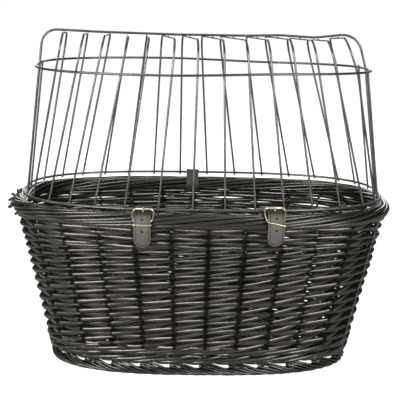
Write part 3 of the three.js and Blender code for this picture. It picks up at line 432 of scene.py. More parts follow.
@dataclass
class Loft:
    """Round rods gathered into one mesh, each with its own length, turn and tone."""

    name: str
    points: list[Array] = field(default_factory=list)
    faces: list[tuple[int, ...]] = field(default_factory=list)
    tones: list[Array] = field(default_factory=list)
    uvs: list[Pair] = field(default_factory=list)
    count: int = 0
    uv_length: float = 10.0

    def sections(self, rings: Array, runs: Array, tones: Array, closed: bool) -> None:
        """Adds a skin over a row of sections.

        Args:
            rings: sections by points by three.
            runs: distance along the piece at each section.
            tones: tone of each section.
            closed: whether the last section joins the first.
        """
        many, sides = rings.shape[:2]
        start = self.count
        self.points.append(rings.reshape(-1, 3))
        self.tones.append(np.repeat(tones, sides))
        self.count += many * sides
        for i in range(many if closed else many - 1):
            here, there = start + i * sides, start + ((i + 1) % many) * sides
            u0 = runs[i] / self.uv_length
            u1 = (runs[i + 1] if i + 1 < many else runs[i] + runs[1]) / self.uv_length
            for k in range(sides):
                up = (k + 1) % sides
                self.faces.append((here + k, here + up, there + up, there + k))
                v0, v1 = k / sides, (k + 1) / sides
                self.uvs += [(u0, v0), (u0, v1), (u1, v1), (u1, v0)]
        if closed:
            return
        for ring, order in ((0, range(sides - 1, -1, -1)), (many - 1, range(sides))):
            self.faces.append(tuple(start + ring * sides + k for k in order))
            self.uvs += [(runs[ring] / self.uv_length, k / sides) for k in order]

    def rod(self, path: Array, out: Array, wide: Array | float, deep: Array | float, tone: Array | float,
            sides: int = 8, closed: bool = False, cut: float = 0.75) -> None:
        """Adds a round or oval rod.

        Args:
            path: centre line.
            out: direction that is outward at each point.
            wide: half-width across the outward direction, one value or one a point.
            deep: half-width along the outward direction, one value or one a point.
            tone: tone of the rod, one value or one a point.
            sides: points round it.
            closed: whether it closes on itself.
            cut: size of its end faces against its own size.
        """
        wide, deep, tone = (np.array(np.broadcast_to(value, len(path)), float)
                            for value in (wide, deep, tone))
        along = tangents(path, closed)
        across = unit(np.cross(along, np.broadcast_to(out, path.shape)))
        outward = np.cross(across, along)
        runs = measured(path)
        if not closed:
            tip = 0.35 * (wide[0] + deep[0]) * (1 - cut)
            path = np.vstack([path[0] - along[0] * tip, path, path[-1] + along[-1] * tip])
            across, outward, runs, tone = (np.concatenate([row[:1], row, row[-1:]])
                                           for row in (across, outward, runs, tone))
            wide, deep = (np.concatenate([row[:1] * cut, row, row[-1:] * cut]) for row in (wide, deep))
        turn = np.arange(sides) * 2 * math.pi / sides
        rings = (path[:, None, :]
                 + outward[:, None, :] * (deep[:, None] * np.cos(turn))[:, :, None]
                 + across[:, None, :] * (wide[:, None] * np.sin(turn))[:, :, None])
        self.sections(rings, runs, tone, closed)

    def build(self, material: Material) -> Object:
        """Makes the mesh object, in metres.

        Args:
            material: its finish.

        Returns:
            The new object.
        """
        mesh = bpy.data.meshes.new(self.name)
        mesh.from_pydata((np.vstack(self.points) * MM).tolist(), [], self.faces)
        layer = mesh.uv_layers.new(name="UVMap")
        layer.data.foreach_set("uv", np.array(self.uvs, np.float32).reshape(-1))
        tone = mesh.attributes.new("tone", "FLOAT", "POINT")
        tone.data.foreach_set("value", np.concatenate(self.tones).astype(np.float32))
        mesh.shade_smooth()
        mesh.materials.append(material)
        mesh.validate()
        made = bpy.data.objects.new(self.name, mesh)
        bpy.context.scene.collection.objects.link(made)
        return made


def show(piece: Object, body: str, slot: str, *nodes: str) -> None:
    """Sets a finished piece on its body in place of its plain nodes.

    Args:
        piece: the finished piece.
        body: the body it moves with.
        slot: the record's material slot it belongs to; not used.
        nodes: the plain nodes it stands for.
    """
    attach(piece, body)
    if nodes:
        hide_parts(*nodes)
    LOG.info("%s: %d faces on %s", piece.name, len(piece.data.polygons), body)


def refinish(node: str, finish: Material) -> None:
    """Gives one of the frame's own solids its finish."""
    frame["nodes"][node].data.materials.clear()
    frame["nodes"][node].data.materials.append(finish)


# The oval plan


@dataclass
class OvalPlan:
    """The rounded oval that every band follows, and the wall's taper, in millimetres."""

    power: float = 2.66
    stakes: int = 28
    rim: Pair = (275.0, 175.0)
    foot: Pair = (218.4875, 138.495)
    rim_inset: float = 5.7
    foot_inset: float = 2.8
    wall_thickness: float = 9.0
    border_radius: float = 11.0
    border_z: float = 226.0
    foot_radius: float = 7.1
    foot_play: float = 0.6
    first_stake: float = 0.13
    centre_y: float = field(init=False)
    angles: Array = field(init=False)
    places: Array = field(init=False)

    def __post_init__(self) -> None:
        """Divides the oval into equal lengths, counted from the middle of the front."""
        low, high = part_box("rim_border")
        self.centre_y = (low.y + high.y) / 2 / MM
        self.angles = np.linspace(-math.pi / 2, 1.5 * math.pi, 2881)
        runs = measured(self.flat(self.angles, *self.border_line()[:2]))
        self.places = runs / runs[-1] * self.stakes

    def border_line(self) -> Triple:
        """Half-length, half-depth and height of the rim border's centre line."""
        return self.rim[0] - self.border_radius, self.rim[1] - self.border_radius, self.border_z

    def foot_line(self) -> Triple:
        """Half-length, half-depth and height of the foot's centre line."""
        inset = self.foot_radius + self.foot_play
        return self.foot[0] - inset, self.foot[1] - inset, self.foot_radius

    def flat(self, angle: Array, half_length: Array | float, half_depth: Array | float) -> Array:
        """Points of the oval.

        Args:
            angle: the parameter round it.
            half_length: reach along X.
            half_depth: reach along Y.

        Returns:
            X and Y, one point a row, about the plan's own centre.
        """
        c, s = np.cos(angle), np.sin(angle)
        x = half_length * np.sign(c) * np.abs(c) ** (2 / self.power)
        y = half_depth * np.sign(s) * np.abs(s) ** (2 / self.power)
        return np.stack([x, y], axis=-1)

    def half_width(self, place: float, along: float, across: float) -> float:
        """Half the oval's width across, at a place along it, from its half-widths along and across."""
        share = min(1.0, abs(place / along) ** self.power)
        return float(across * (1 - share) ** (1 / self.power))

    def wall(self, z: Array | float) -> tuple[Array, Array]:
        """The size of the wall's outside at a height.

        Args:
            z: the height, one or many.

        Returns:
            Its half-length and half-depth.
        """
        rise = (np.asarray(z, float) - self.foot_radius) / (self.border_z - self.foot_radius)
        return tuple((foot - self.foot_inset) * (1 - rise) + (rim - self.rim_inset) * rise
                     for foot, rim in zip(self.foot, self.rim))

    def ring(self, stake: Array, half_length: Array | float, half_depth: Array | float,
             z: Array | float) -> tuple[Array, Array]:
        """Points and outward directions of a band.

        Args:
            stake: places counted in stakes.
            half_length: reach along X.
            half_depth: reach along Y.
            z: height.

        Returns:
            The points, and the level direction that is outward at each.
        """
        part = np.mod(np.asarray(stake, float) + self.first_stake, self.stakes)
        angle = np.interp(part, self.places, self.angles)
        inner = self.flat(angle, half_length, half_depth)
        outer = self.flat(angle, half_length + 1.0, half_depth + 1.0)
        points = np.column_stack([inner[:, 0], inner[:, 1] + self.centre_y, np.broadcast_to(z, len(inner))])
        return points, unit(np.column_stack([outer - inner, np.zeros(len(inner))]))

    def on_wall(self, stake: Array, z: Array, out: Array) -> tuple[Array, Array]:
        """Points of the wall, a distance out from its middle, and the outward directions."""
        length, depth = (half + out - self.wall_thickness / 2 for half in self.wall(z))
        return self.ring(stake, length, depth, z)

    def on_roll(self, stake: Array, turn: Array, radius: Array, roll: Triple) -> tuple[Array, Array]:
        """Points on a roll that follows the oval.

        Args:
            stake: places counted in stakes.
            turn: angle round the roll's section, 0 outward and 90 degrees up.
            radius: distance from the section's centre.
            roll: half-length, half-depth and height of the roll's centre line.

        Returns:
            The points and the directions away from the section's centre.
        """
        reach = radius * np.cos(turn)
        points, out = self.ring(stake, roll[0] + reach, roll[1] + reach, roll[2] + radius * np.sin(turn))
        away = out * np.cos(turn)[:, None] + np.array([0.0, 0.0, 1.0]) * np.sin(turn)[:, None]
        return points, unit(away)


def wander(length: int, every: int, size: float) -> Array:
    """A slowly changing random line.

    Args:
        length: number of values.
        every: values between two random ones.
        size: spread of the random ones.

    Returns:
        The values.
    """
    knots = RANDOM.normal(0, size, length // every + 3)
    place = np.arange(length) / every
    base = np.floor(place).astype(int)
    share = (1 - np.cos((place - base) * math.pi)) / 2
    return knots[base] * (1 - share) + knots[base + 1] * share


# Wicker


def over_and_under(stake: Array, rod: int) -> Array:
    """How far a rod stands out, from -1 to 1: in front of one stake and behind the next."""
    return np.arcsin(STAKE_BEND * np.cos(math.pi * (stake + rod))) / math.asin(STAKE_BEND)


def toned_with_groove_shade(phase: Array, every: int) -> Array:
    """The tone along a woven rod, with painted shade where it bends over a stake, which also dims the rod's
    shine there.
    """
    # painted shade over each stake crest
    groove = np.exp(-((1 - np.abs(phase)) / GROOVE_SHADE_WIDTH) ** 2)
    return np.clip(ROD_TONE + wander(len(phase), every, 0.22), LEAST_TONE, 1) * (1 - GROOVE_SHADE_DEPTH * groove)


def tapered(run: Array, rod_length: float, start: float, loss: float = 0.14, butt: float = 1.06) -> Array:
    """The size along a row of rods, each tapering from butt to tip before the next begins."""
    return butt - loss * np.mod(run / rod_length + start, 1.0)


@dataclass
class Weave:
    """A part of the wicker body, woven rod by rod round the oval."""

    plan: OvalPlan
    finishes: Finishes

    def put(self, loft: Loft, node: str) -> None:
        """Shows the woven rods in place of their plain node."""
        show(loft.build(self.finishes.wicker), "basket", "wicker", node)


@dataclass
class WovenWall(Weave):
    """The wall: upright stakes, and slanting rods that weave between them one by one."""

    bottom: float = 41.0
    top: float = 186.6
    turns: int = 22
    bulge: float = 3.6
    thickest: float = 2.75
    rod_length: float = 9.3
    stagger: float = 0.37
    overlap: float = 0.4
    levels: tuple[float, ...] = (40.0, 120.0, 150.0, 186.0)
    pitches: tuple[float, ...] = (7.25, 6.7, 6.0, 4.75)
    stations: tuple[float, ...] = (0.0, 0.04, 0.09, 0.14, 0.22, 0.36, 0.5, 0.64, 0.78, 0.86, 0.91, 0.96)
    stake_radius: float = 2.0
    stake_reach: float = 26.0

    def build(self) -> None:
        """Weaves the wall, its rows closer together near the top."""
        loft = Loft("woven_wall")
        heights = np.linspace(self.bottom, self.top, 400)
        pitches = np.interp(heights, self.levels, self.pitches)
        rows = np.concatenate([[0.0], np.cumsum(np.diff(heights) / ((pitches[1:] + pitches[:-1]) / 2))])
        rise = self.turns / self.plan.stakes
        for rod in range(self.turns):
            first, last = (-self.overlap - rod) / rise, (rows[-1] + self.overlap - rod) / rise
            stake = (np.arange(math.floor(first), last)[:, None] + np.array(self.stations)).ravel()
            phase = over_and_under(stake, rod)
            row = rod + rise * stake + wander(len(stake), 10, 0.07)
            pitch = np.interp(row, rows, pitches) * tapered(stake, self.rod_length, rod * self.stagger)
            size = (0.55 - 0.03 * phase) * pitch * (1 + wander(len(stake), 25, 0.04))
            out = self.bulge * phase + wander(len(stake), 10, 0.2)
            places = self.plan.on_wall(stake, np.interp(row, rows, heights), out)
            loft.rod(*places, size, np.minimum(size, self.thickest), toned_with_groove_shade(phase, 60))
        z = np.linspace(self.bottom - self.stake_reach, self.top + self.stake_reach, 24)
        for stake in range(self.plan.stakes):
            places = self.plan.on_wall(np.full(24, float(stake)), z, np.full(24, -1.0))
            # the stakes' low tone is painted shade: it keeps them dark between the rods and dims their shine
            loft.rod(*places, self.stake_radius, self.stake_radius, RANDOM.uniform(0, 0.2), sides=7)
        self.put(loft, "wall_weave")


@dataclass
class WaledBand(Weave):
    """The band over the foot, of long slanting strokes: in front of two stakes and behind one."""

    bottom: float = 17.6
    top: float = 41.8
    rows: int = 4
    bulge: float = 3.9
    slant: float = 0.75
    thickest: float = 2.7
    rod_length: float = 8.1
    overlap: float = 0.4
    per_stake: int = 10

    def build(self) -> None:
        """Weaves the band, course by course, from three rods that take turns."""
        loft = Loft("bottom_wale_rods")
        pitch = (self.top - self.bottom) / self.rows
        stakes = self.plan.stakes
        for course, rod in ((c, r) for c in range(self.rows // 2) for r in range(3)):
            run = RANDOM.uniform(-1.5, 1.5) + np.arange(0, stakes + self.overlap, 1 / self.per_stake)
            beat = np.mod(run + rod, 3.0)
            swing = np.where(beat < 1, -np.cos(math.pi * beat),
                             np.where(beat > 2, np.cos(math.pi * (beat - 2)), 1.0))
            row = 1 + 2 * course + np.interp(beat, [0, 0.5, 2.5, 3], [0, -self.slant, self.slant, 0])
            row = np.clip(row + wander(len(run), self.per_stake, 0.1), 0.3, self.rows - 0.3)
            taper = tapered(run, self.rod_length, rod * 0.4 + course * 0.3, butt=1.05)
            size = 0.57 * pitch * taper * (1 + wander(len(run), 30, 0.06))
            out = self.bulge * swing + wander(len(run), self.per_stake, 0.25)
            places = self.plan.on_wall(run + stakes / 2, self.bottom + pitch * row, out)
            tone = np.clip(ROD_TONE + wander(len(run), 50, 0.25), LEAST_TONE, 1)
            loft.rod(*places, size, np.minimum(size, self.thickest), tone)
        self.put(loft, "bottom_wale")


@dataclass
class UpperBand(Weave):
    """The closed rows between the wall and the rim, each in front of one stake and behind the next."""

    bottom: float = 186.4
    top: float = 216.0
    rows: int = 5
    bulge: float = 3.9
    thickest: float = 2.75
    rod_length: float = 8.3
    stagger: float = 0.41
    overlap: float = 0.4
    per_stake: int = 12

    def build(self) -> None:
        """Weaves the rows, their ends out of sight at the back."""
        loft = Loft("top_wale_rods")
        pitch = (self.top - self.bottom) / self.rows
        stake = np.arange(0, self.plan.stakes + self.overlap, 1 / self.per_stake) + self.plan.stakes / 2
        for row in range(self.rows):
            phase = over_and_under(stake, row)
            z = self.bottom + pitch * (row + 0.5 + wander(len(stake), 14, 0.09))
            size = (0.6 - 0.02 * phase) * pitch * tapered(stake, self.rod_length, row * self.stagger, 0.16)
            size *= 1 + wander(len(stake), 30, 0.05)
            out = self.bulge * phase + wander(len(stake), 12, 0.25)
            places = self.plan.on_wall(stake, z, out)
            loft.rod(*places, size, np.minimum(size, self.thickest), toned_with_groove_shade(phase, 70))
        self.put(loft, "top_wale")


def fill_roll(loft: Loft, plan: OvalPlan, roll: Triple, radius: float) -> None:
    """Fills the middle of a roll, so that no light comes through between its rods.

    Args:
        loft: the roll's mesh under construction.
        plan: the oval.
        roll: half-length, half-depth and height of the roll's centre line.
        radius: of the filling.
    """
    stake = np.arange(0, plan.stakes, 0.25)
    middle = np.zeros(len(stake))
    # the filling's low tone is painted shade in the gaps between the rods
    loft.rod(*plan.on_roll(stake, middle, middle, roll), radius, radius, 0.1, sides=8, closed=True)


@dataclass
class RolledRim(Weave):
    """The rim: each stake is turned down and winds once round the border with its neighbours."""

    reach: float = 8.35
    rod_radius: float = 2.6
    core: float = 6.0
    abreast: int = 10
    per_stake: int = 8
    start_turn: float = math.radians(-105)
    end_reach: float = 6.5
    sag: float = 0.02
    # for each cut end its stake, its turn round the border, its lean back and its length
    ends: tuple[tuple[float, float, float, float], ...] = (
        (21.6, 38, 60, 15), (21.3, 12, 48, 14), (21.0, -16, 55, 15), (20.7, -44, 40, 12), (20.3, 30, 62, 16),
        (20.6, 66, 66, 15), (21.9, 62, 70, 16), (21.7, -8, 62, 17), (20.0, -30, 55, 14), (22.3, 24, 66, 15),
        (20.9, 88, 40, 12), (21.15, 78, 30, 13), (19.6, 60, 60, 15), (21.4, 52, 35, 13), (22.6, -20, 70, 16),
        (20.45, -6, 50, 14), (21.25, -30, 35, 12))

    def build(self) -> None:
        """Rolls the border from one rod a stake."""
        loft = Loft("rolled_rim")
        many = self.abreast * self.per_stake + 1
        along = np.linspace(0, self.abreast, many)
        for rod in range(self.plan.stakes):
            turn = self.start_turn + along * 2 * math.pi / self.abreast + wander(many, 14, 0.07)
            reach = self.reach + wander(many, 12, 0.35)
            reach *= np.interp(along, [0, 0.6, self.abreast - 0.6, self.abreast], [0.8, 1, 1, 0.8])
            size = self.rod_radius * np.interp(along, [0, self.abreast], [1.1, 0.86])
            size *= 1 + wander(many, 16, 0.04)
            places = self.plan.on_roll(rod + along, turn, reach, self.plan.border_line())
            tone = np.clip(RANDOM.uniform(0.3, 0.75) + wander(many, 20, 0.12), 0, 1)
            loft.rod(*places, size, size, tone)
        fill_roll(loft, self.plan, self.plan.border_line(), self.core)
        self.cut_ends(loft)
        self.put(loft, "rim_border")

    def cut_ends(self, loft: Loft) -> None:
        """Lets the last rods end at the left, cut short and splayed.

        Args:
            loft: the border's mesh under construction.
        """
        for place, turn, lean, length in self.ends:
            points, away = self.plan.on_roll(np.array([place, place + 0.05]), np.full(2, math.radians(turn)),
                                             np.full(2, self.end_reach), self.plan.border_line())
            along = unit(points[1] - points[0])
            heading = unit(away[0] * math.cos(math.radians(lean)) - along * math.sin(math.radians(lean)))
            steps = np.linspace(0, length, 6)[:, None]
            path = points[0] + heading * steps + np.array([0.0, 0.0, -self.sag]) * steps ** 2
            size = self.rod_radius * np.linspace(0.95, 0.75, 6)
            loft.rod(path, np.cross(heading, along), size, size, RANDOM.uniform(0.5, 1.0), sides=8, cut=0.95)


@dataclass
class FootRoll(Weave):
    """The foot: from each stake a bundle of thin rods slants down and ends at the floor."""

    rods: int = 3
    rod_radius: float = 1.8
    reach: float = 5.2
    length: float = 1.85
    start: float = -0.18
    first_turn: float = math.radians(100)
    last_turn: float = math.radians(-78)
    turn_rate: float = math.radians(98)
    lift: float = 7.4
    floor_clear: float = 0.1
    core: float = 4.0
    stake_radius: float = 2.3
    many: int = 26

    def build(self) -> None:
        """Lays the bundles and the stakes' lower ends."""
        loft = Loft("foot_roll")
        z = np.linspace(6, 30, 4)
        for stake in range(self.plan.stakes):
            for rod in range(self.rods):
                self.lay(loft, stake, rod)
            places = self.plan.on_wall(np.full(4, float(stake)), z, np.zeros(4))
            loft.rod(*places, self.stake_radius, self.stake_radius, 0.3, sides=7)
        fill_roll(loft, self.plan, self.plan.foot_line(), self.core)
        self.put(loft, "foot_border")

    def lay(self, loft: Loft, stake: int, rod: int) -> None:
        """Lays one rod of a bundle, from behind its stake down to the floor.

        Args:
            loft: the foot's mesh under construction.
            stake: the stake it starts from.
            rod: its number in the bundle.
        """
        below = rod * 2 * math.asin(self.rod_radius / self.reach)
        along = np.linspace(self.start, self.length + RANDOM.uniform(-0.06, 0.06), self.many)
        turn = self.first_turn - along * self.turn_rate - below
        turn = np.maximum(turn, self.last_turn - below * 0.55) + wander(self.many, 8, 0.05)
        reach = self.reach + np.interp(along, [self.start, 0.3, self.length], [-1.5, -0.1, 0.25])
        points, away = self.plan.on_roll(stake + along, turn, reach, self.plan.foot_line())
        points[:, 2] += np.interp(along, [-0.2, 0.8], [self.lift - 1.2 * rod, 0.0])
        points[:, 2] = np.maximum(points[:, 2], self.rod_radius + self.floor_clear)
        tone = np.clip(RANDOM.uniform(0.3, 0.8) + wander(self.many, 10, 0.1), 0, 1)
        size = self.rod_radius * RANDOM.uniform(0.9, 1.05)
        loft.rod(points, away, size, size, tone, sides=7, cut=0.92)


@dataclass
class WovenBase(Weave):
    """The base: long rods woven over and under the cross sticks in shrinking ovals."""

    level: float = 19.1
    pitch: float = 6.2
    wave: float = 2.35
    rod_radius: float = 2.3
    step: float = 7.0
    edge: float = 2.5
    sticks: int = 9
    stick_radius: float = 2.5

    def build(self) -> None:
        """Weaves the base round its sticks and stains them."""
        loft = Loft("woven_base")
        low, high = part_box("base_mat")
        half_length, half_depth = high.x / MM - self.edge, (high.y - low.y) / 2 / MM - self.edge
        names = [f"base_stick_{i}" for i in range(1, self.sticks + 1)]
        lines = sorted(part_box(name)[0].x / MM + self.stick_radius for name in names)
        last, spacing = lines[-1], lines[1] - lines[0]
        inset, ring = 0.0, 0
        while inset < half_depth - self.pitch * 0.4:
            length, depth = half_length - inset, half_depth - inset
            steps = max(60, int((length + depth) * 4 / self.step))
            stake = np.linspace(0, self.plan.stakes, steps, endpoint=False)
            points, _ = self.plan.ring(stake, length, depth, self.level)
            x, y = np.abs(points[:, 0]), np.abs(points[:, 1] - self.plan.centre_y)
            # past the last stick the rods still rise and fall as they turn round the end
            beyond = np.maximum(x - last, 0) + np.where(x > last, (depth - y) * 0.8, 0)
            count = (np.minimum(x, last) + beyond) / spacing
            points[:, 2] += self.wave * np.cos(math.pi * (count + ring)) + wander(steps, 10, 0.12)
            size = self.rod_radius * (1 + wander(steps, 20, 0.03))
            # the ring's thickness meets itself where it closes
            size[-8:] = size[0]
            tone = RANDOM.uniform(0.3, 0.7)
            loft.rod(points, np.array([0.0, 0.0, 1.0]), size * 1.2, size, tone, sides=7, closed=True)
            inset += self.pitch
            ring += 1
        self.put(loft, "base_mat")
        for name in names:
            refinish(name, self.finishes.wicker)


# Modelling by operators


def choose(*pieces: Object) -> None:
    """Selects pieces and nothing else, the first of them active.

    Args:
        pieces: what is selected.
    """
    bpy.ops.object.select_all(action="DESELECT")
    for piece in pieces:
        piece.select_set(True)
    bpy.context.view_layer.objects.active = pieces[0]


def begin(add: Callable, name: str, scale: Sequence[float] = (1, 1, 1), **values: object) -> Object:
    """Adds a primitive with nothing else selected, at its own place and turn.

    Args:
        add: the primitive's operator.
        name: the new object's name.
        scale: how far it is stretched along its own axes.
        values: the operator's settings, in metres.

    Returns:
        The object, alone selected and active.
    """
    bpy.ops.object.select_all(action="DESELECT")
    add(**values)
    made = bpy.context.active_object
    made.name = made.data.name = name
    made.scale = scale
    bpy.ops.object.transform_apply(location=True, rotation=True, scale=True)
    return made


@contextmanager
def edit_mode() -> Iterator[None]:
    """Edit mode on the active piece, with all of it selected at first.

    Returns:
        A context that ends in object mode.
    """
    bpy.ops.object.mode_set(mode="EDIT")
    bpy.ops.mesh.select_all(action="SELECT")
    yield
    bpy.ops.object.mode_set(mode="OBJECT")


def pick(piece: Object, test: Callable[[Vector], bool]) -> None:
    """Selects, in edit mode, the points that pass a test.

    Args:
        piece: the piece being edited.
        test: says of a point's place whether it is selected.
    """
    bpy.ops.mesh.select_all(action="DESELECT")
    mesh = bmesh.from_edit_mesh(piece.data)
    for point in mesh.verts:
        point.select = test(point.co)
    mesh.select_flush(True)
    bmesh.update_edit_mesh(piece.data)


def extrude(step: Vector) -> None:
    """Extrudes, in edit mode, what is selected."""
    bpy.ops.mesh.extrude_region_move(TRANSFORM_OT_translate={"value": step})


def merge_points() -> None:
    """Merges, in edit mode, the points that share a place."""
    bpy.ops.mesh.select_all(action="SELECT")
    bpy.ops.mesh.remove_doubles(threshold=MERGE_DISTANCE)


def face_out() -> None:
    """Turns, in edit mode, every face outward."""
    bpy.ops.mesh.select_all(action="SELECT")
    bpy.ops.mesh.normals_make_consistent(inside=False)


def smooth(degrees: float) -> None:
    """Shades the chosen piece smooth, apart from edges sharper than an angle."""
    bpy.ops.object.shade_smooth_by_angle(angle=math.radians(degrees))


def fitted(piece: Object, kind: str, **values: object) -> None:
    """Adds a modifier and applies it.

    Args:
        piece: what it works on.
        kind: the modifier's type.
        values: its settings.
    """
    modifier = piece.modifiers.new(kind.lower(), kind)
    for key, value in values.items():
        setattr(modifier, key, value)
    choose(piece)
    bpy.ops.object.modifier_apply(modifier=modifier.name)


def settle(piece: Object, place: Matrix, finish: Material | None = None) -> Object:
    """Puts a piece in its place and gives it its finish.

    Args:
        piece: the piece, modelled in its own frame.
        place: where that frame lies, in millimetres.
        finish: the material, unless the piece already has one.

    Returns:
        The same piece.
    """
    metres = place.copy()
    metres.translation = place.translation * MM
    piece.data.transform(metres)
    if finish and not piece.data.materials:
        piece.data.materials.append(finish)
    return piece


def gathered(pieces: Sequence[Object], name: str) -> Object:
    """Joins pieces into one object.

    Args:
        pieces: the pieces, which are used up.
        name: the object's name.

    Returns:
        The object.
    """
    choose(*pieces)
    bpy.ops.object.join()
    pieces[0].name = pieces[0].data.name = name
    return pieces[0]


def repeated(model: Object, name: str, places: Sequence[Matrix]) -> Object:
    """Copies a model to many places, each copy with its own mesh, and joins the copies.

    Args:
        model: the piece modelled once; it is used up.
        name: the joined object's name.
        places: where each copy goes, in millimetres.

    Returns:
        The joined object.
    """
    copies = []
    for place in places:
        twin = model.copy()
        twin.data = model.data.copy()
        bpy.context.scene.collection.objects.link(twin)
        copies.append(settle(twin, place))
    bpy.data.objects.remove(model)
    return gathered(copies, name)


@dataclass
class BentWire:
    """A round wire drawn by hand: a disc extruded along each straight run and spun round each bend."""

    name: str
    corners: Sequence[Sequence[float]]
    radii: Sequence[float]
    radius: float
    closed: bool = False
    taper: float = 1.0
    sides: int = 12
    steps: int = 6

    def bend(self, place: Vector, before: Vector, corner: Vector, after: Vector, radius: float) -> Vector:
        """Extrudes to a bend and spins round it.

        Args:
            place: where the wire has got to.
            before: the corner before.
            corner: the corner that is bent.
            after: the corner after.
            radius: radius of the bend.

        Returns:
            Where the bend ends.
        """
        back, ahead = (before - corner).normalized(), (after - corner).normalized()
        half = back.angle(ahead) / 2
        setback = radius * MM / math.tan(half)
        extrude(corner + back * setback - place)
        centre = corner + (back + ahead).normalized() * radius * MM / math.sin(half)
        axis = (-back).cross(ahead).normalized()
        bpy.ops.mesh.spin(steps=self.steps, angle=2 * half - math.pi, center=centre, axis=axis)
        return corner + ahead * setback

    def build(self) -> Object:
        """Draws the wire.

        Returns:
            The finished wire, smooth, with its faces outward.
        """
        corners = [Vector(corner) * MM for corner in self.corners]
        heading = (corners[1] - corners[0]).to_track_quat("Z", "Y").to_euler()
        piece = begin(bpy.ops.mesh.primitive_circle_add, self.name, vertices=self.sides,
                      radius=self.radius * MM, fill_type="NOTHING" if self.closed else "NGON",
                      location=corners[0], rotation=heading)
        with edit_mode():
            place = corners[0]
            for before, corner, after, radius in zip(corners, corners[1:], corners[2:], self.radii):
                place = self.bend(place, before, corner, after, radius)
            extrude(corners[-1] - place)
            if self.taper != 1.0:
                bpy.ops.transform.resize(value=(self.taper,) * 3, center_override=corners[-1])
            if self.closed:
                merge_points()
            face_out()
        smooth(50)
        return piece


@dataclass
class Ribbon:
    """A flat strip drawn by hand: an edge extruded along its side view, thickened, its edges softened."""

    name: str
    line: Array
    width: float
    thick: float
    finishes: tuple[Material, Material]
    closed: bool = False
    tip: bool = False
    soft: float = 0.4

    def build(self) -> Object:
        """Draws the strip.

        Returns:
            The strip in its own frame, its width along X.
        """
        places = [Vector((0, y, z)) * MM for y, z in self.line]
        first, second = places[0], places[1]
        heading = (second - first).to_track_quat("Y", "Z").to_euler()
        piece = begin(bpy.ops.mesh.primitive_plane_add, self.name, size=1.0, location=(first + second) / 2,
                      rotation=heading, scale=(self.width * MM, (second - first).length, 1.0))
        for finish in self.finishes:
            piece.data.materials.append(finish)
        with edit_mode():
            pick(piece, lambda co: (co - second).dot(second - first) > -1e-9)
            for here, there in zip(places[1:], places[2:] + places[:1] * self.closed):
                extrude(there - here)
            merge_points()
            if self.tip:
                # a full half of the width would put the two rounded corners in one place
                pick(piece, lambda co: abs((co - first).dot(second - first)) < 1e-9)
                bpy.ops.mesh.bevel(offset=self.width / 2 * MM * 0.998, segments=9, affect="VERTICES")
            face_out()
        fitted(piece, "SOLIDIFY", thickness=self.thick * MM, offset=0.0, use_even_offset=True,
               material_offset_rim=1)
        fitted(piece, "BEVEL", width=self.soft * MM, segments=2, limit_method="ANGLE",
               angle_limit=math.radians(50))
        smooth(40)
        return piece


# Grille


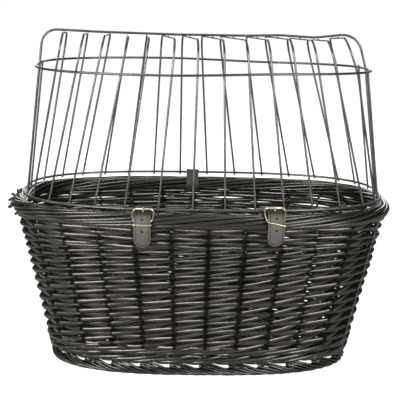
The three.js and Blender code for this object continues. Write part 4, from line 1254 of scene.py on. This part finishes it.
@dataclass
class WireGrille:
    """The lid: two hoops, a ridge wire, crossing arches and a few end wires, in millimetres."""

    plan: OvalPlan
    finishes: Finishes
    lower: Pair = (259.0, 159.5)
    upper: Pair = (239.8, 153.0)
    upper_z: float = 181.0
    shift: float = 2.0
    twist: float = 4.0
    front_drop: float = 4.2
    wire: float = 1.5
    hoop: float = 1.75
    inset: float = 3.75
    overhang: float = 3.0
    loop_gap: float = 0.7
    ring_points: int = 144
    bead: float = 2.3
    bead_out: float = 1.6
    ridge_z: float = 227.5
    ridge_rises: Pair = (4.0, 5.0)
    ridge_lean: float = 8.0
    ridge_knots: tuple[Pair, ...] = (
        (-0.95, 4.0), (-0.64, 1.0), (-0.17, -1.0), (0.26, -1.0), (0.47, 0.5), (0.68, -2.0))
    ridge_bends: tuple[float, float, float, float] = (22.0, 80.0, 28.0, 60.0)
    arches: int = 14
    arch_bends: Pair = (24.0, 90.0)
    foot_inset: float = 15.0
    foot_gather: float = 6.5
    top_inset: float = 42.8
    crown_gap: float = 0.3
    fall: float = 6.5
    lean: Pair = (9.0, 5.0)
    strays_front: dict[int, float] = field(default_factory=lambda: {
        1: -2, 4: 3, 6: 3, 7: 1, 8: 2, 10: -3, 11: -3, 12: -2, 13: -2})
    strays_back: dict[int, float] = field(default_factory=lambda: {
        3: 4, 6: -5, 9: -6, 11: -4, 12: -2, 13: -3, 14: 5})
    # end wires, each with its end and its place along Y
    ends: tuple[tuple[str, int, float], ...] = (
        ("left_front_wire", -1, -45.0), ("left_back_wire", -1, 30.0),
        ("right_front_wire", 1, -45.0), ("right_back_wire", 1, 45.0))
    tilt: float = field(init=False)
    origin: Vector = field(init=False)
    crossings: list[Array] = field(default_factory=list)

    def __post_init__(self) -> None:
        """Takes the hinge line from the frame's own joint."""
        joint = next(j for j in frame["joints"] if j["name"] == "lid_hinge")
        self.origin = Vector(joint["pos_m"]) / MM
        self.tilt = math.asin(self.front_drop / (2 * self.lower[1]))

    def matrix(self) -> Matrix:
        """Where the grille's own frame lies: its middle, level with the lower hoop."""
        turned = Matrix.Translation(self.origin) @ Matrix.Rotation(self.tilt, 4, "X")
        return turned @ Matrix.Translation((0, -self.lower[1], 0))

    def wrap(self, thick: float) -> float:
        """The radius at which the middle of a leather strip runs round a hoop."""
        return self.hoop + self.loop_gap + thick / 2

    def oval(self, z: float) -> Triple:
        """The oval that the wires stand on, just inside the hoops.

        Args:
            z: height above the lower hoop.

        Returns:
            Its half-length, half-depth and shift.
        """
        share = min(max(z / self.upper_z, 0.0), 1.0)
        length, depth = (low + (high - low) * share - self.inset for low, high in zip(self.lower, self.upper))
        return length, depth, self.shift * (1 - share)

    def inside(self, x: float, z: float, side: Side) -> Array:
        """A point just inside the hoops, on the front or the back."""
        length, depth, shift = self.oval(z)
        return np.array([x, side.value * self.plan.half_width(x - shift, length, depth), z])

    def inside_end(self, y: float, z: float, end: int) -> Array:
        """A point just inside the hoops, at the left or the right end."""
        length, depth, shift = self.oval(z)
        return np.array([shift + end * self.plan.half_width(y, depth, length), y, z])

    def standing(self, foot: Array, middle: Array, *heights: float) -> list[Array]:
        """Points of a straight wire at some heights; it gets a bead where it meets each hoop."""
        self.crossings += [foot, middle]
        return [foot + (middle - foot) * (z - foot[2]) / (middle[2] - foot[2]) for z in heights]

    def knots(self) -> list[Pair]:
        """The ridge wire's places and heights, from left to right."""
        reach = self.inside_end(0, self.ridge_z, 1)[0]
        return [(share * reach, self.ridge_z + rise) for share, rise in self.ridge_knots]

    def ridge_height(self, x: float) -> float:
        """Height of the hand-bent ridge wire at a place."""
        last = self.inside_end(0, self.ridge_z, 1)[0] - self.ridge_lean, self.ridge_z + self.ridge_rises[1]
        return float(np.interp(x, *zip(*self.knots(), last)))

    @staticmethod
    def eased(value: float, low: float, high: float) -> float:
        """A smooth step from 0 at the low value to 1 at the high one."""
        share = min(max((value - low) / (high - low), 0.0), 1.0)
        return share * share * (3 - 2 * share)

    def foot_x(self, place: float, side: Side) -> float:
        """Where a leg of an arch stands on the lower hoop, a little off its even place.

        Args:
            place: the arch's place, from -1 at the left to 1 at the right.
            side: front or back.

        Returns:
            The foot's X.
        """
        even = (self.lower[0] - self.foot_inset) * (1.216 * place - 0.216 * place ** 3)
        even -= self.foot_gather * self.eased(place, 0.85, 1.0)
        if side is Side.FRONT:
            stray = 3.5 + 3.5 * math.cos(2 * math.pi * (place + 1)) - 2.5 * math.sin(1.2 * math.pi * place)
        else:
            stray = 9 * math.cos(0.867 * math.pi * (place + 0.85)) - 1.5
        return even + stray

    def top_x(self, place: float, side: Side) -> float:
        """Where a leg of an arch turns into its crown, a little off its even place.

        Args:
            place: the arch's place, from -1 at the left to 1 at the right.
            side: front or back.

        Returns:
            The bend's X.
        """
        number = round((place + 1) / 2 * (self.arches - 1)) + 1
        if side is Side.FRONT:
            stray = 4.6 + 6.8 * math.sin(2.9 * place) - 6 * math.exp(-((place - 0.85) / 0.08) ** 2)
            stray += self.strays_front.get(number, 0)
        else:
            stray = -5.5 - 10 * math.exp(-((place - 0.04) / 0.3) ** 2) + self.strays_back.get(number, 0)
        return (self.upper[0] - self.top_inset) * place + stray

    def leans(self, place: float, side: Side) -> float:
        """How far the last arch's leg leans over above the upper hoop."""
        return self.lean[side is Side.BACK] if place >= 1 else 0.0

    def leg(self, place: float, side: Side) -> list[Array]:
        """The corners of one leg of an arch, from its foot up.

        Args:
            place: the arch's place, from -1 at the left to 1 at the right.
            side: front or back.

        Returns:
            Two corners, or three where the leg leans.
        """
        foot_x, top_x = self.foot_x(place, side), self.top_x(place, side)
        foot = self.inside(foot_x, 0, side)
        middle = self.inside(foot_x + (top_x - foot_x) * self.upper_z / self.ridge_z, self.upper_z, side)
        crown_x = sum(self.top_x(place, each) - self.leans(place, each) for each in Side) / 2
        crown_z = self.ridge_height(crown_x) - (self.hoop + self.wire) - self.crown_gap
        start, top = self.standing(foot, middle, -self.overhang, crown_z - side.value * self.fall)
        leaning = self.leans(place, side)
        top[0] -= leaning
        return [start, middle, top] if leaning else [start, top]

    def arch(self, place: float) -> tuple[list[Array], list[float]]:
        """One arch, from its front foot to its back one.

        Args:
            place: the arch's place, from -1 at the left to 1 at the right.

        Returns:
            Its corners and its bends.
        """
        corners = [*self.leg(place, Side.FRONT), *reversed(self.leg(place, Side.BACK))]
        crown, lean = self.arch_bends
        return corners, [lean, crown, crown, lean] if len(corners) > 4 else [crown, crown]

    def ridge(self) -> tuple[list[Array], list[float]]:
        """The ridge wire, from one end of the hoops to the other.

        Returns:
            Its corners and its bends.
        """
        left, right = ([self.inside_end(0, z, end) for z in (0, self.upper_z)] for end in (-1, 1))
        start, crown = self.standing(*left, -self.overhang, self.ridge_z + self.ridge_rises[0])
        finish, lean = self.standing(*right, -self.overhang, self.ridge_z + self.ridge_rises[1])
        lean[0] -= self.ridge_lean
        knots = [np.array([x, 0.0, z]) for x, z in self.knots()[1:]]
        first, between, *last = self.ridge_bends
        return [start, crown, *knots, lean, right[1], finish], [first, *[between] * len(knots), *last]

    def dip(self, x: float, y: float, z: float) -> float:
        """How far the upper hoop, a little twisted, dips at a place of its right half."""
        share = self.eased(x, -self.upper[0] / 4, self.upper[0] / 2)
        return self.twist * share * y / self.upper[1] if z else 0.0

    def hoop_wire(self, name: str, half: Pair, shift: float, z: float) -> Object:
        """Bends a hoop: a ring of points is set on the oval and given a round section.

        Args:
            name: the object's name.
            half: half-length and half-depth.
            shift: how far it lies off centre.
            z: its height.

        Returns:
            The hoop in the grille's frame.
        """
        piece = begin(bpy.ops.mesh.primitive_circle_add, name, vertices=self.ring_points, radius=half[0] * MM,
                      fill_type="NOTHING")
        stake = np.arange(self.ring_points) * self.plan.stakes / self.ring_points
        points, _ = self.plan.ring(stake, *half, z)
        points[:, 1] -= self.plan.centre_y
        for vertex, (x, y, level) in zip(piece.data.vertices, points):
            vertex.co = Vector((x + shift, y, level - self.dip(x, y, z))) * MM
        bpy.ops.object.convert(target="CURVE")
        curve = bpy.context.active_object.data
        curve.bevel_depth = self.hoop * MM
        curve.bevel_resolution = 3
        bpy.ops.object.convert(target="MESH")
        with edit_mode():
            face_out()
        bpy.ops.object.shade_smooth()
        return bpy.context.active_object

    def beads(self) -> Object:
        """Melts a small bead of metal where each wire meets a hoop.

        Returns:
            The beads, in the grille's frame.
        """
        bead = begin(bpy.ops.mesh.primitive_uv_sphere_add, "weld_bead", segments=10, ring_count=7,
                     radius=self.bead * MM)
        with edit_mode():
            bpy.ops.transform.resize(value=(0.95, 1.0, 0.75))
        bpy.ops.object.shade_smooth()
        places = []
        for x, y, z in self.crossings:
            length, depth, shift = self.oval(z)
            out = Vector(((x - shift) / length ** 2, y / depth ** 2, 0)).normalized()
            at = Vector((x, y, z - self.dip(x, y, z))) + out * self.bead_out
            turn = Matrix.Rotation(math.atan2(out.y, out.x) - math.pi / 2, 4, "Z")
            places.append(Matrix.Translation(at) @ turn @ Matrix.Scale(RANDOM.uniform(0.85, 1.1), 4))
        return repeated(bead, "weld_beads", places)

    def build(self) -> None:
        """Makes every wire of the lid."""
        made = [(self.hoop_wire("lower_hoop_wire", self.lower, self.shift, 0.0), "lower_hoop"),
                (self.hoop_wire("upper_hoop_wire", self.upper, 0.0, self.upper_z), "upper_hoop")]
        lines = {f"cross_arch_{i + 1}": self.arch(-1 + 2 * i / (self.arches - 1)) for i in range(self.arches)}
        lines["ridge_wire"] = self.ridge()
        for node, end, y in self.ends:
            foot, top = (self.inside_end(y, z, end) for z in (0, self.upper_z))
            lines[node] = self.standing(foot, top, -self.overhang, self.upper_z + self.overhang), []
        for node, (corners, radii) in lines.items():
            radius = self.hoop if node == "ridge_wire" else self.wire
            made.append((BentWire(f"{node}_round", corners, radii, radius).build(), node))
        for piece, *nodes in (*made, (self.beads(),)):
            show(settle(piece, self.matrix(), self.finishes.wire), "lid", "wire", *nodes)


# Leather and brass


@dataclass
class HingeLoop:
    """The leather loop that the lid turns in, round the lower hoop and the border."""

    plan: OvalPlan
    finishes: Finishes
    grille: WireGrille
    x: float = -9.0
    width: float = 19.0
    thick: float = 1.8
    seat: float = 0.3

    def build(self) -> None:
        """Wraps the loop."""
        hoop = self.grille.origin.y, self.grille.origin.z
        border = self.plan.centre_y + self.plan.border_line()[1], self.plan.border_z
        small, large = self.grille.wrap(self.thick), self.plan.border_radius + self.seat + self.thick / 2
        rise, run = hoop[1] - border[1], hoop[0] - border[0]
        axis, spread = math.atan2(rise, run), math.acos((large - small) / math.hypot(run, rise))
        line = np.vstack([arc(hoop, small, np.linspace(axis - spread, axis + spread, 12)),
                          arc(border, large, np.linspace(axis + spread, axis - spread + 2 * math.pi, 28))])
        piece = Ribbon("hinge_loop_leather", line, self.width, self.thick,
                       (self.finishes.hinge, self.finishes.hinge_edge), closed=True).build()
        show(settle(piece, Matrix.Translation((self.x, 0, 0))), "basket", "hinge_leather", "hinge_loop")


@dataclass
class StrapSet:
    """One strap with its buckle, prong, keeper, tab and rivet. Y is counted from the border's centre line."""

    plan: OvalPlan
    finishes: Finishes
    grille: WireGrille
    hand: Hand
    x: float
    heel_z: float
    keeper_tilt: float
    width: float = 23.0
    strap_thick: float = 2.0
    tail: float = 36.0
    tab_width: float = 18.0
    tab_thick: float = 1.8
    slot_z: float = 206.5
    slot_gap: float = 1.5
    slot_depth: float = 17.0
    bar: float = 1.2
    heel_y: float = -16.0
    half_heel: float = 12.0
    half_frame: float = 14.0
    flare: float = 7.77
    frame_height: float = 18.5
    frame_bends: tuple[float, ...] = (2.6, 12.0, 4.2, 4.2, 12.0, 2.6)
    top_bar: Pair = (1.6, 20.2)
    lean: float = math.radians(38.4)
    seat: float = 0.3
    prong_pass: Pair = (5.8, 1.8)
    prong_hole: float = 1.4
    spare_hole: float = 1.7
    hole_spacing: float = 16.0
    hole_shift: float = 2.2
    seam_inset: float = 2.8
    seam_length: float = 62.0
    stitch: Pair = (0.55, 1.9)
    stitch_spacing: float = 3.1
    keeper_wire: float = 0.75
    keeper_bend: float = 1.6
    keeper_drop: float = 4.2
    keeper_play: Pair = (0.45, 0.5)
    heel: Pair = field(init=False)

    def __post_init__(self) -> None:
        """Sets the heel bar in front of the border."""
        self.heel = (self.heel_y, self.heel_z)

    def named(self, piece: str) -> str:
        """A piece's or a body's name on this side."""
        return f"{self.hand.value}_{piece}"

    def border(self, x: float) -> float:
        """How far in front of the plan's centre the border's centre line is at a place."""
        return self.plan.half_width(x, *self.plan.border_line()[:2])

    def wall_inside(self, z: float) -> float:
        """The wall's inner face in the side view, at a height."""
        length, depth = (float(half) - self.plan.wall_thickness for half in self.plan.wall(z))
        return self.border(self.x) - self.plan.half_width(self.x, length, depth)

    def matrix(self) -> Matrix:
        """Finds where the set stands.

        Returns:
            Its own frame: on the border, square to it.
        """
        slope = math.atan2(self.border(self.x) - self.border(self.x + 1), 1)
        place = Matrix.Translation((self.x, self.plan.centre_y - self.border(self.x), 0))
        return place @ Matrix.Rotation(slope, 4, "Z")

    def at_buckle(self, up: float, out: float) -> Pair:
        """A point of the side view, up the frame from the heel bar and out in front of it."""
        s, c = math.sin(self.lean), math.cos(self.lean)
        return self.heel[0] + up * s - out * c, self.heel[1] + up * c + out * s

    def at_prong(self) -> Pair:
        """Where the prong goes through the strap, in the side view."""
        return self.at_buckle(self.frame_height - self.prong_pass[0], self.prong_pass[1])

    def buckle_matrix(self) -> Matrix:
        """The buckle's own frame: heel bar at its origin, +Z up the frame, -Y in front."""
        return self.matrix() @ Matrix.Translation((0, *self.heel)) @ Matrix.Rotation(-self.lean, 4, "X")

    def hoop(self) -> Pair:
        """Finds the lower hoop's front in the side view.

        Returns:
            Its place and its height.
        """
        y = self.grille.origin.y - 2 * self.grille.lower[1] * math.cos(self.grille.tilt)
        y += self.plan.border_line()[1] - self.plan.centre_y
        return y, self.grille.origin.z - self.grille.front_drop

    def heel_out(self) -> float:
        """How far the strap's middle runs in front of the heel bar."""
        return self.bar + self.seat * 2 + self.tab_thick + self.strap_thick / 2 + 0.1

    def strap_line(self) -> Array:
        """Draws the side view of the strap, from its tip to the end sewn under it.

        Returns:
            Its points.
        """
        y, z = self.hoop()
        wrap, out, top = self.grille.wrap(self.strap_thick), self.heel_out(), self.frame_height
        front, heel, tail = self.heel[0] - out, self.heel[1], self.tail
        knots = [(front + 6.2, heel - tail), (front + 2.7, heel - tail * 0.72),
                 (front + 0.6, heel - tail * 0.42), (front, heel - self.keeper_drop),
                 self.at_buckle(-1.8, out - 0.3), self.at_buckle(3.5, out),
                 self.at_buckle(8.8, out - 0.9), self.at_prong(), self.at_buckle(top - 3, -1.5),
                 self.at_buckle(top - 0.7, -3.6), (y - 4.5, z + wrap - 0.25), (y, z + wrap)]
        return np.vstack([smooth_line(knots, 12), arc((y, z), wrap, np.radians(np.linspace(60, -90, 9))),
                          [(y - 2.8, z - 1.6), (y - 5.6, z - 0.4), (y - 9, z - 0.5)]])

    def tab_line(self) -> Array:
        """Draws the side view of the buckle tab, from its short end to its riveted one.

        Returns:
            Its points.
        """
        (y, z), slot, gap = self.heel, self.slot_z, self.slot_gap
        wrap, sill, end = self.bar + self.seat + self.tab_thick / 2, slot - gap, slot - self.slot_depth
        return np.vstack([[(y + 1.15, z - 9.5), (y + 1.3, z - 6), (y + wrap - 0.3, z - 1.9)],
                          arc(self.heel, wrap, np.linspace(0, math.pi, 11)),
                          [(y - wrap + 0.5, z - 3), (y - 1.15, z - 6.5), (y - 0.9, slot + 9),
                           (y + 0.8, slot + 3.5), (y + 4.5, slot + 0.4), (y + 7.5, slot)],
                          arc((self.wall_inside(sill), sill), gap, np.radians(np.linspace(90, 10, 6))),
                          [(self.wall_inside(end) + gap, end)]])

    def punch(self, piece: Object, line: Array, edge: Material) -> None:
        """Punches the prong hole and the spare holes, which are worn wider, through the strap.

        Args:
            piece: the strap, in its own frame.
            line: its side view.
            edge: finish of the holes' walls, the darkest cut leather, as painted shade inside the holes.
        """
        line = evened(line, 0.5)
        runs = measured(line)
        prong = runs[int(np.argmin(np.linalg.norm(line - np.array(self.at_prong()), axis=1)))]
        spare = [(prong - step * self.hole_spacing + self.hole_shift, self.spare_hole) for step in (1, 2)]
        for run, radius in ((prong, self.prong_hole), *spare):
            at = sampled(run, runs, line)
            ahead = sampled(run + 1, runs, line) - at
            punch = begin(bpy.ops.mesh.primitive_cylinder_add, "punch", vertices=20, radius=radius * MM,
                          depth=8 * MM, location=Vector((0, *at)) * MM,
                          rotation=(math.atan2(ahead[1], ahead[0]), 0, 0))
            punch.data.materials.append(edge)
            fitted(piece, "BOOLEAN", object=punch, operation="DIFFERENCE", solver="EXACT",
                   material_mode="TRANSFER")
            bpy.data.objects.remove(punch)

    def strap(self) -> None:
        """Makes the strap, its holes and its stitching."""
        whole = evened(self.strap_line(), 0.7)
        runs = measured(whole)
        places = np.concatenate([[0.0], np.arange(self.width / 2 + 0.3, runs[-1], 1.6), [runs[-1]]])
        line = sampled(places, runs, whole)
        piece = Ribbon(self.named("strap_leather"), line, self.width, self.strap_thick,
                       (self.finishes.strap, self.finishes.strap_edge), tip=True).build()
        # the holes' walls take the darkest cut leather, as painted shade inside the holes
        self.punch(piece, line, self.finishes.hinge_edge)
        choose(piece)
        smooth(40)
        # painted shadow under the buckle's top bar: the leather is darker from where it is pulled through the
        # buckle and all the way above it
        heights = np.array([vertex.co.z for vertex in piece.data.vertices]) / MM - self.heel[1]
        stain = piece.data.attributes.new("stain", "FLOAT", "POINT")
        stain.data.foreach_set("value", np.clip((heights - 6.0) / 4.0, 0, 1).astype(np.float32))
        show(settle(piece, self.matrix()), "lid", "strap_leather", self.named("strap"))
        self.stitches(line)

    def stitches(self, line: Array) -> None:
        """Sews a row of stitches just inside the strap's edge.

        Args:
            line: the strap's side view.
        """
        radius = self.width / 2 - self.seam_inset
        along = tangents(line, False)
        normal = np.stack([-along[:, 1], along[:, 0]], axis=1)
        straight = np.arange(self.width / 2, self.seam_length, 0.5)
        bend = np.linspace(0, math.pi, 60)
        side = np.full(len(straight), radius)
        seam_x = np.concatenate([-side, -radius * np.cos(bend), side])
        seam_run = np.concatenate([straight[::-1], self.width / 2 - radius * np.sin(bend), straight])
        middle, out = (sampled(seam_run, measured(line), row) for row in (line, normal))
        seam = np.column_stack([seam_x, middle + out * (self.strap_thick / 2 + 0.05)])
        raised = np.column_stack([seam_x * 0, out])
        steps = measured(seam)
        stitch = begin(bpy.ops.mesh.primitive_cylinder_add, "stitch", vertices=8, radius=self.stitch[0] * MM,
                       depth=self.stitch[1] * MM, rotation=(0, math.pi / 2, 0))
        fitted(stitch, "BEVEL", width=0.25 * MM, segments=2, limit_method="ANGLE")
        bpy.ops.object.shade_smooth()
        placed = []
        for start in np.arange(1.0, steps[-1] - 1, self.stitch_spacing):
            at, ahead, up = (Vector(sampled(start + step, steps, row))
                             for step, row in ((0, seam), (0.4, seam), (0, raised)))
            forward = (ahead - at).normalized()
            across = up.cross(forward).normalized()
            turn = Matrix((forward, across, up.normalized())).transposed().to_4x4()
            placed.append(Matrix.Translation(at) @ turn)
        piece = repeated(stitch, self.named("stitching"), placed)
        show(settle(piece, self.matrix(), self.finishes.thread), "lid", "strap_leather")

    def tab(self) -> None:
        """Makes the tab that holds the heel bar, and brightens its rivet."""
        piece = Ribbon(self.named("tab_leather"), self.tab_line(), self.tab_width, self.tab_thick,
                       (self.finishes.strap, self.finishes.strap_edge)).build()
        show(settle(piece, self.matrix()), "basket", "strap_leather", self.named("buckle_tab"))
        refinish(self.named("tab_rivet"), self.finishes.brass)

    def put_brass(self, piece: Object, place: Matrix, body: str, node: str) -> None:
        """Shows a brass fitting on its body in place of its plain node."""
        show(settle(piece, place, self.finishes.brass), self.named(body), "brass", self.named(node))

    def buckle(self) -> None:
        """Bends the buckle frame and lays its thicker top bar on it."""
        heel, half, flare, top = self.half_heel, self.half_frame, self.flare, self.frame_height
        corners = [(0, 0, 0), (heel, 0, 0), (half, 0, flare), (half, 0, top), (-half, 0, top),
                   (-half, 0, flare), (-heel, 0, 0), (0, 0, 0)]
        ring = BentWire("frame_ring", corners, self.frame_bends, self.bar, closed=True).build()
        bar = begin(bpy.ops.mesh.primitive_cylinder_add, "top_bar", vertices=20, radius=self.top_bar[0] * MM,
                    depth=self.top_bar[1] * MM, location=(0, 0, top * MM), rotation=(0, math.pi / 2, 0))
        fitted(bar, "BEVEL", width=0.4 * MM, segments=3, limit_method="ANGLE", angle_limit=math.radians(60))
        smooth(50)
        piece = gathered([ring, bar], self.named("buckle_bar"))
        self.put_brass(piece, self.buckle_matrix(), "buckle", "buckle_frame")

    def prong(self) -> None:
        """Bends the prong round the heel bar."""
        eye = begin(bpy.ops.mesh.primitive_torus_add, "prong_eye", major_segments=28, minor_segments=12,
                    major_radius=2.4 * MM, minor_radius=0.9 * MM, rotation=(0, math.pi / 2, 0))
        with edit_mode():
            bpy.ops.transform.resize(value=(1.5, 1.0, 1.0), center_override=(0, 0, 0))
        bpy.ops.object.shade_smooth()
        corners = [(0, -0.4, 2.4), (0, -0.9, 6.0), (0, -2.9, 16.3), (0, -2.9, 18.5), (0, -2.0, 20.3)]
        shank = BentWire("prong_shank", corners, [8.0, 5.0, 2.2], 1.0, taper=0.6, steps=4).build()
        piece = gathered([eye, shank], self.named("prong_bar"))
        self.put_brass(piece, self.buckle_matrix(), "prong_body", "prong")

    def keeper(self) -> None:
        """Bends the wire keeper round the tail and the tab."""
        wire, tilt = self.keeper_wire, math.radians(self.keeper_tilt)
        beside, before = self.keeper_play
        front = self.heel[0] - self.heel_out() - self.strap_thick / 2 - before - wire
        back = self.heel[0] + self.bar + self.seat + self.tab_thick + self.seat + wire
        half = (self.width / 2 + beside) / math.cos(tilt) + wire
        corners = [(0, front, 0), (half, front, 0), (half, back, 0), (-half, back, 0), (-half, front, 0),
                   (0, front, 0)]
        piece = BentWire(self.named("keeper_wire"), corners, [self.keeper_bend] * 4, wire, closed=True,
                         sides=10).build()
        drop = Matrix.Translation((0, 0, self.heel[1] - self.keeper_drop))
        self.put_brass(piece, self.matrix() @ drop @ Matrix.Rotation(tilt, 4, "Y"), "keeper_body", "keeper")

    def build(self) -> None:
        """Makes the whole set, piece by piece."""
        for make in (self.strap, self.tab, self.buckle, self.prong, self.keeper):
            make()


# Stage


@dataclass
class Studio:
    """Pale floor, soft lamps and the camera that took the picture."""

    plan: OvalPlan
    lens: float = 116.1
    shift_x: float = -0.0019
    place: Triple = (-0.0562, -1.8722, 0.555)
    pitch: float = 0.17335
    yaw: float = 0.030
    roll: float = 0.01875
    aim: Triple = (0.0, 0.0, 0.24)
    room_light: float = 0.05
    # lamps, each with its place and its width and height in metres, and its power in watts
    lamps: tuple[tuple[str, Triple, Pair, float], ...] = (
        ("left_box", (-1.45, -2.1, 0.95), (1.4, 1.0), 52.0),
        ("right_box", (1.45, -2.1, 0.95), (1.4, 1.0), 40.0),
        ("side_box", (-2.6, -0.5, 0.9), (0.9, 0.9), 9.0),
        ("top_box", (0.0, 0.0, 2.4), (2.0, 1.4), 12.0),
        ("back_box", (0.0, 2.6, 1.1), (2.2, 1.0), 22.0))

    def floor(self) -> None:
        """Lays the floor."""
        floor = begin(bpy.ops.mesh.primitive_plane_add, "studio_floor", size=400.0)
        floor.data.materials.append(FloorFinish().material())

    def lamp(self, name: str, place: Triple, size: Pair, power: float) -> None:
        """Hangs a soft lamp that looks at the basket.

        Args:
            name: its name.
            place: where it hangs, in metres.
            size: its width and height.
            power: in watts.
        """
        data = bpy.data.lights.new(name, "AREA")
        data.shape, data.size, data.size_y, data.energy = "RECTANGLE", *size, power
        lamp = bpy.data.objects.new(name, data)
        lamp.location = place
        lamp.rotation_euler = (Vector(self.aim) - Vector(place)).to_track_quat("-Z", "Y").to_euler()
        bpy.context.scene.collection.objects.link(lamp)

    def camera(self) -> None:
        """Sets the camera where the picture was taken from."""
        data = bpy.data.cameras.new("picture_camera")
        data.lens, data.sensor_width, data.shift_x = self.lens, 36.0, self.shift_x
        camera = bpy.data.objects.new("picture_camera", data)
        camera.location = self.place[0], self.place[1] + self.plan.centre_y * MM, self.place[2]
        heading = Matrix.Rotation(-self.yaw, 4, "Z") @ Matrix.Rotation(math.pi / 2 - self.pitch, 4, "X")
        camera.rotation_euler = (heading @ Matrix.Rotation(self.roll, 4, "Z")).to_euler()
        bpy.context.scene.collection.objects.link(camera)
        bpy.context.scene.camera = camera

    def world(self) -> None:
        """Makes the room white to the camera and pale to the light."""
        world = bpy.data.worlds.new("pale_room")
        bpy.context.scene.world = world
        world.use_nodes = True
        nodes, links = world.node_tree.nodes, world.node_tree.links
        room = nodes["Background"]
        room.inputs["Color"].default_value = (1.0, 1.0, 1.0, 1.0)
        rays, strength = nodes.new("ShaderNodeLightPath"), nodes.new("ShaderNodeMapRange")
        strength.inputs["To Min"].default_value = self.room_light
        strength.inputs["To Max"].default_value = 1.0
        links.new(rays.outputs["Is Camera Ray"], strength.inputs["Value"])
        links.new(strength.outputs["Result"], room.inputs["Strength"])

    def build(self) -> None:
        """Sets the whole stage."""
        self.floor()
        for lamp in self.lamps:
            self.lamp(*lamp)
        self.camera()
        self.world()
        bpy.context.scene.view_settings.view_transform = "Standard"


def main() -> None:
    """Builds the basket piece by piece and sets the stage."""
    logging.basicConfig(level=logging.INFO, format="%(message)s")
    plan = OvalPlan()
    finishes = Finishes()
    Studio(plan).build()
    for weave in (WovenBase, FootRoll, WaledBand, WovenWall, UpperBand, RolledRim):
        weave(plan, finishes).build()
    grille = WireGrille(plan, finishes)
    grille.build()
    HingeLoop(plan, finishes, grille).build()
    StrapSet(plan, finishes, grille, Hand.LEFT, -81.5, 228.0, 0.0).build()
    StrapSet(plan, finishes, grille, Hand.RIGHT, 94.5, 231.5, 13.0).build()


if __name__ == "__main__":
    main()
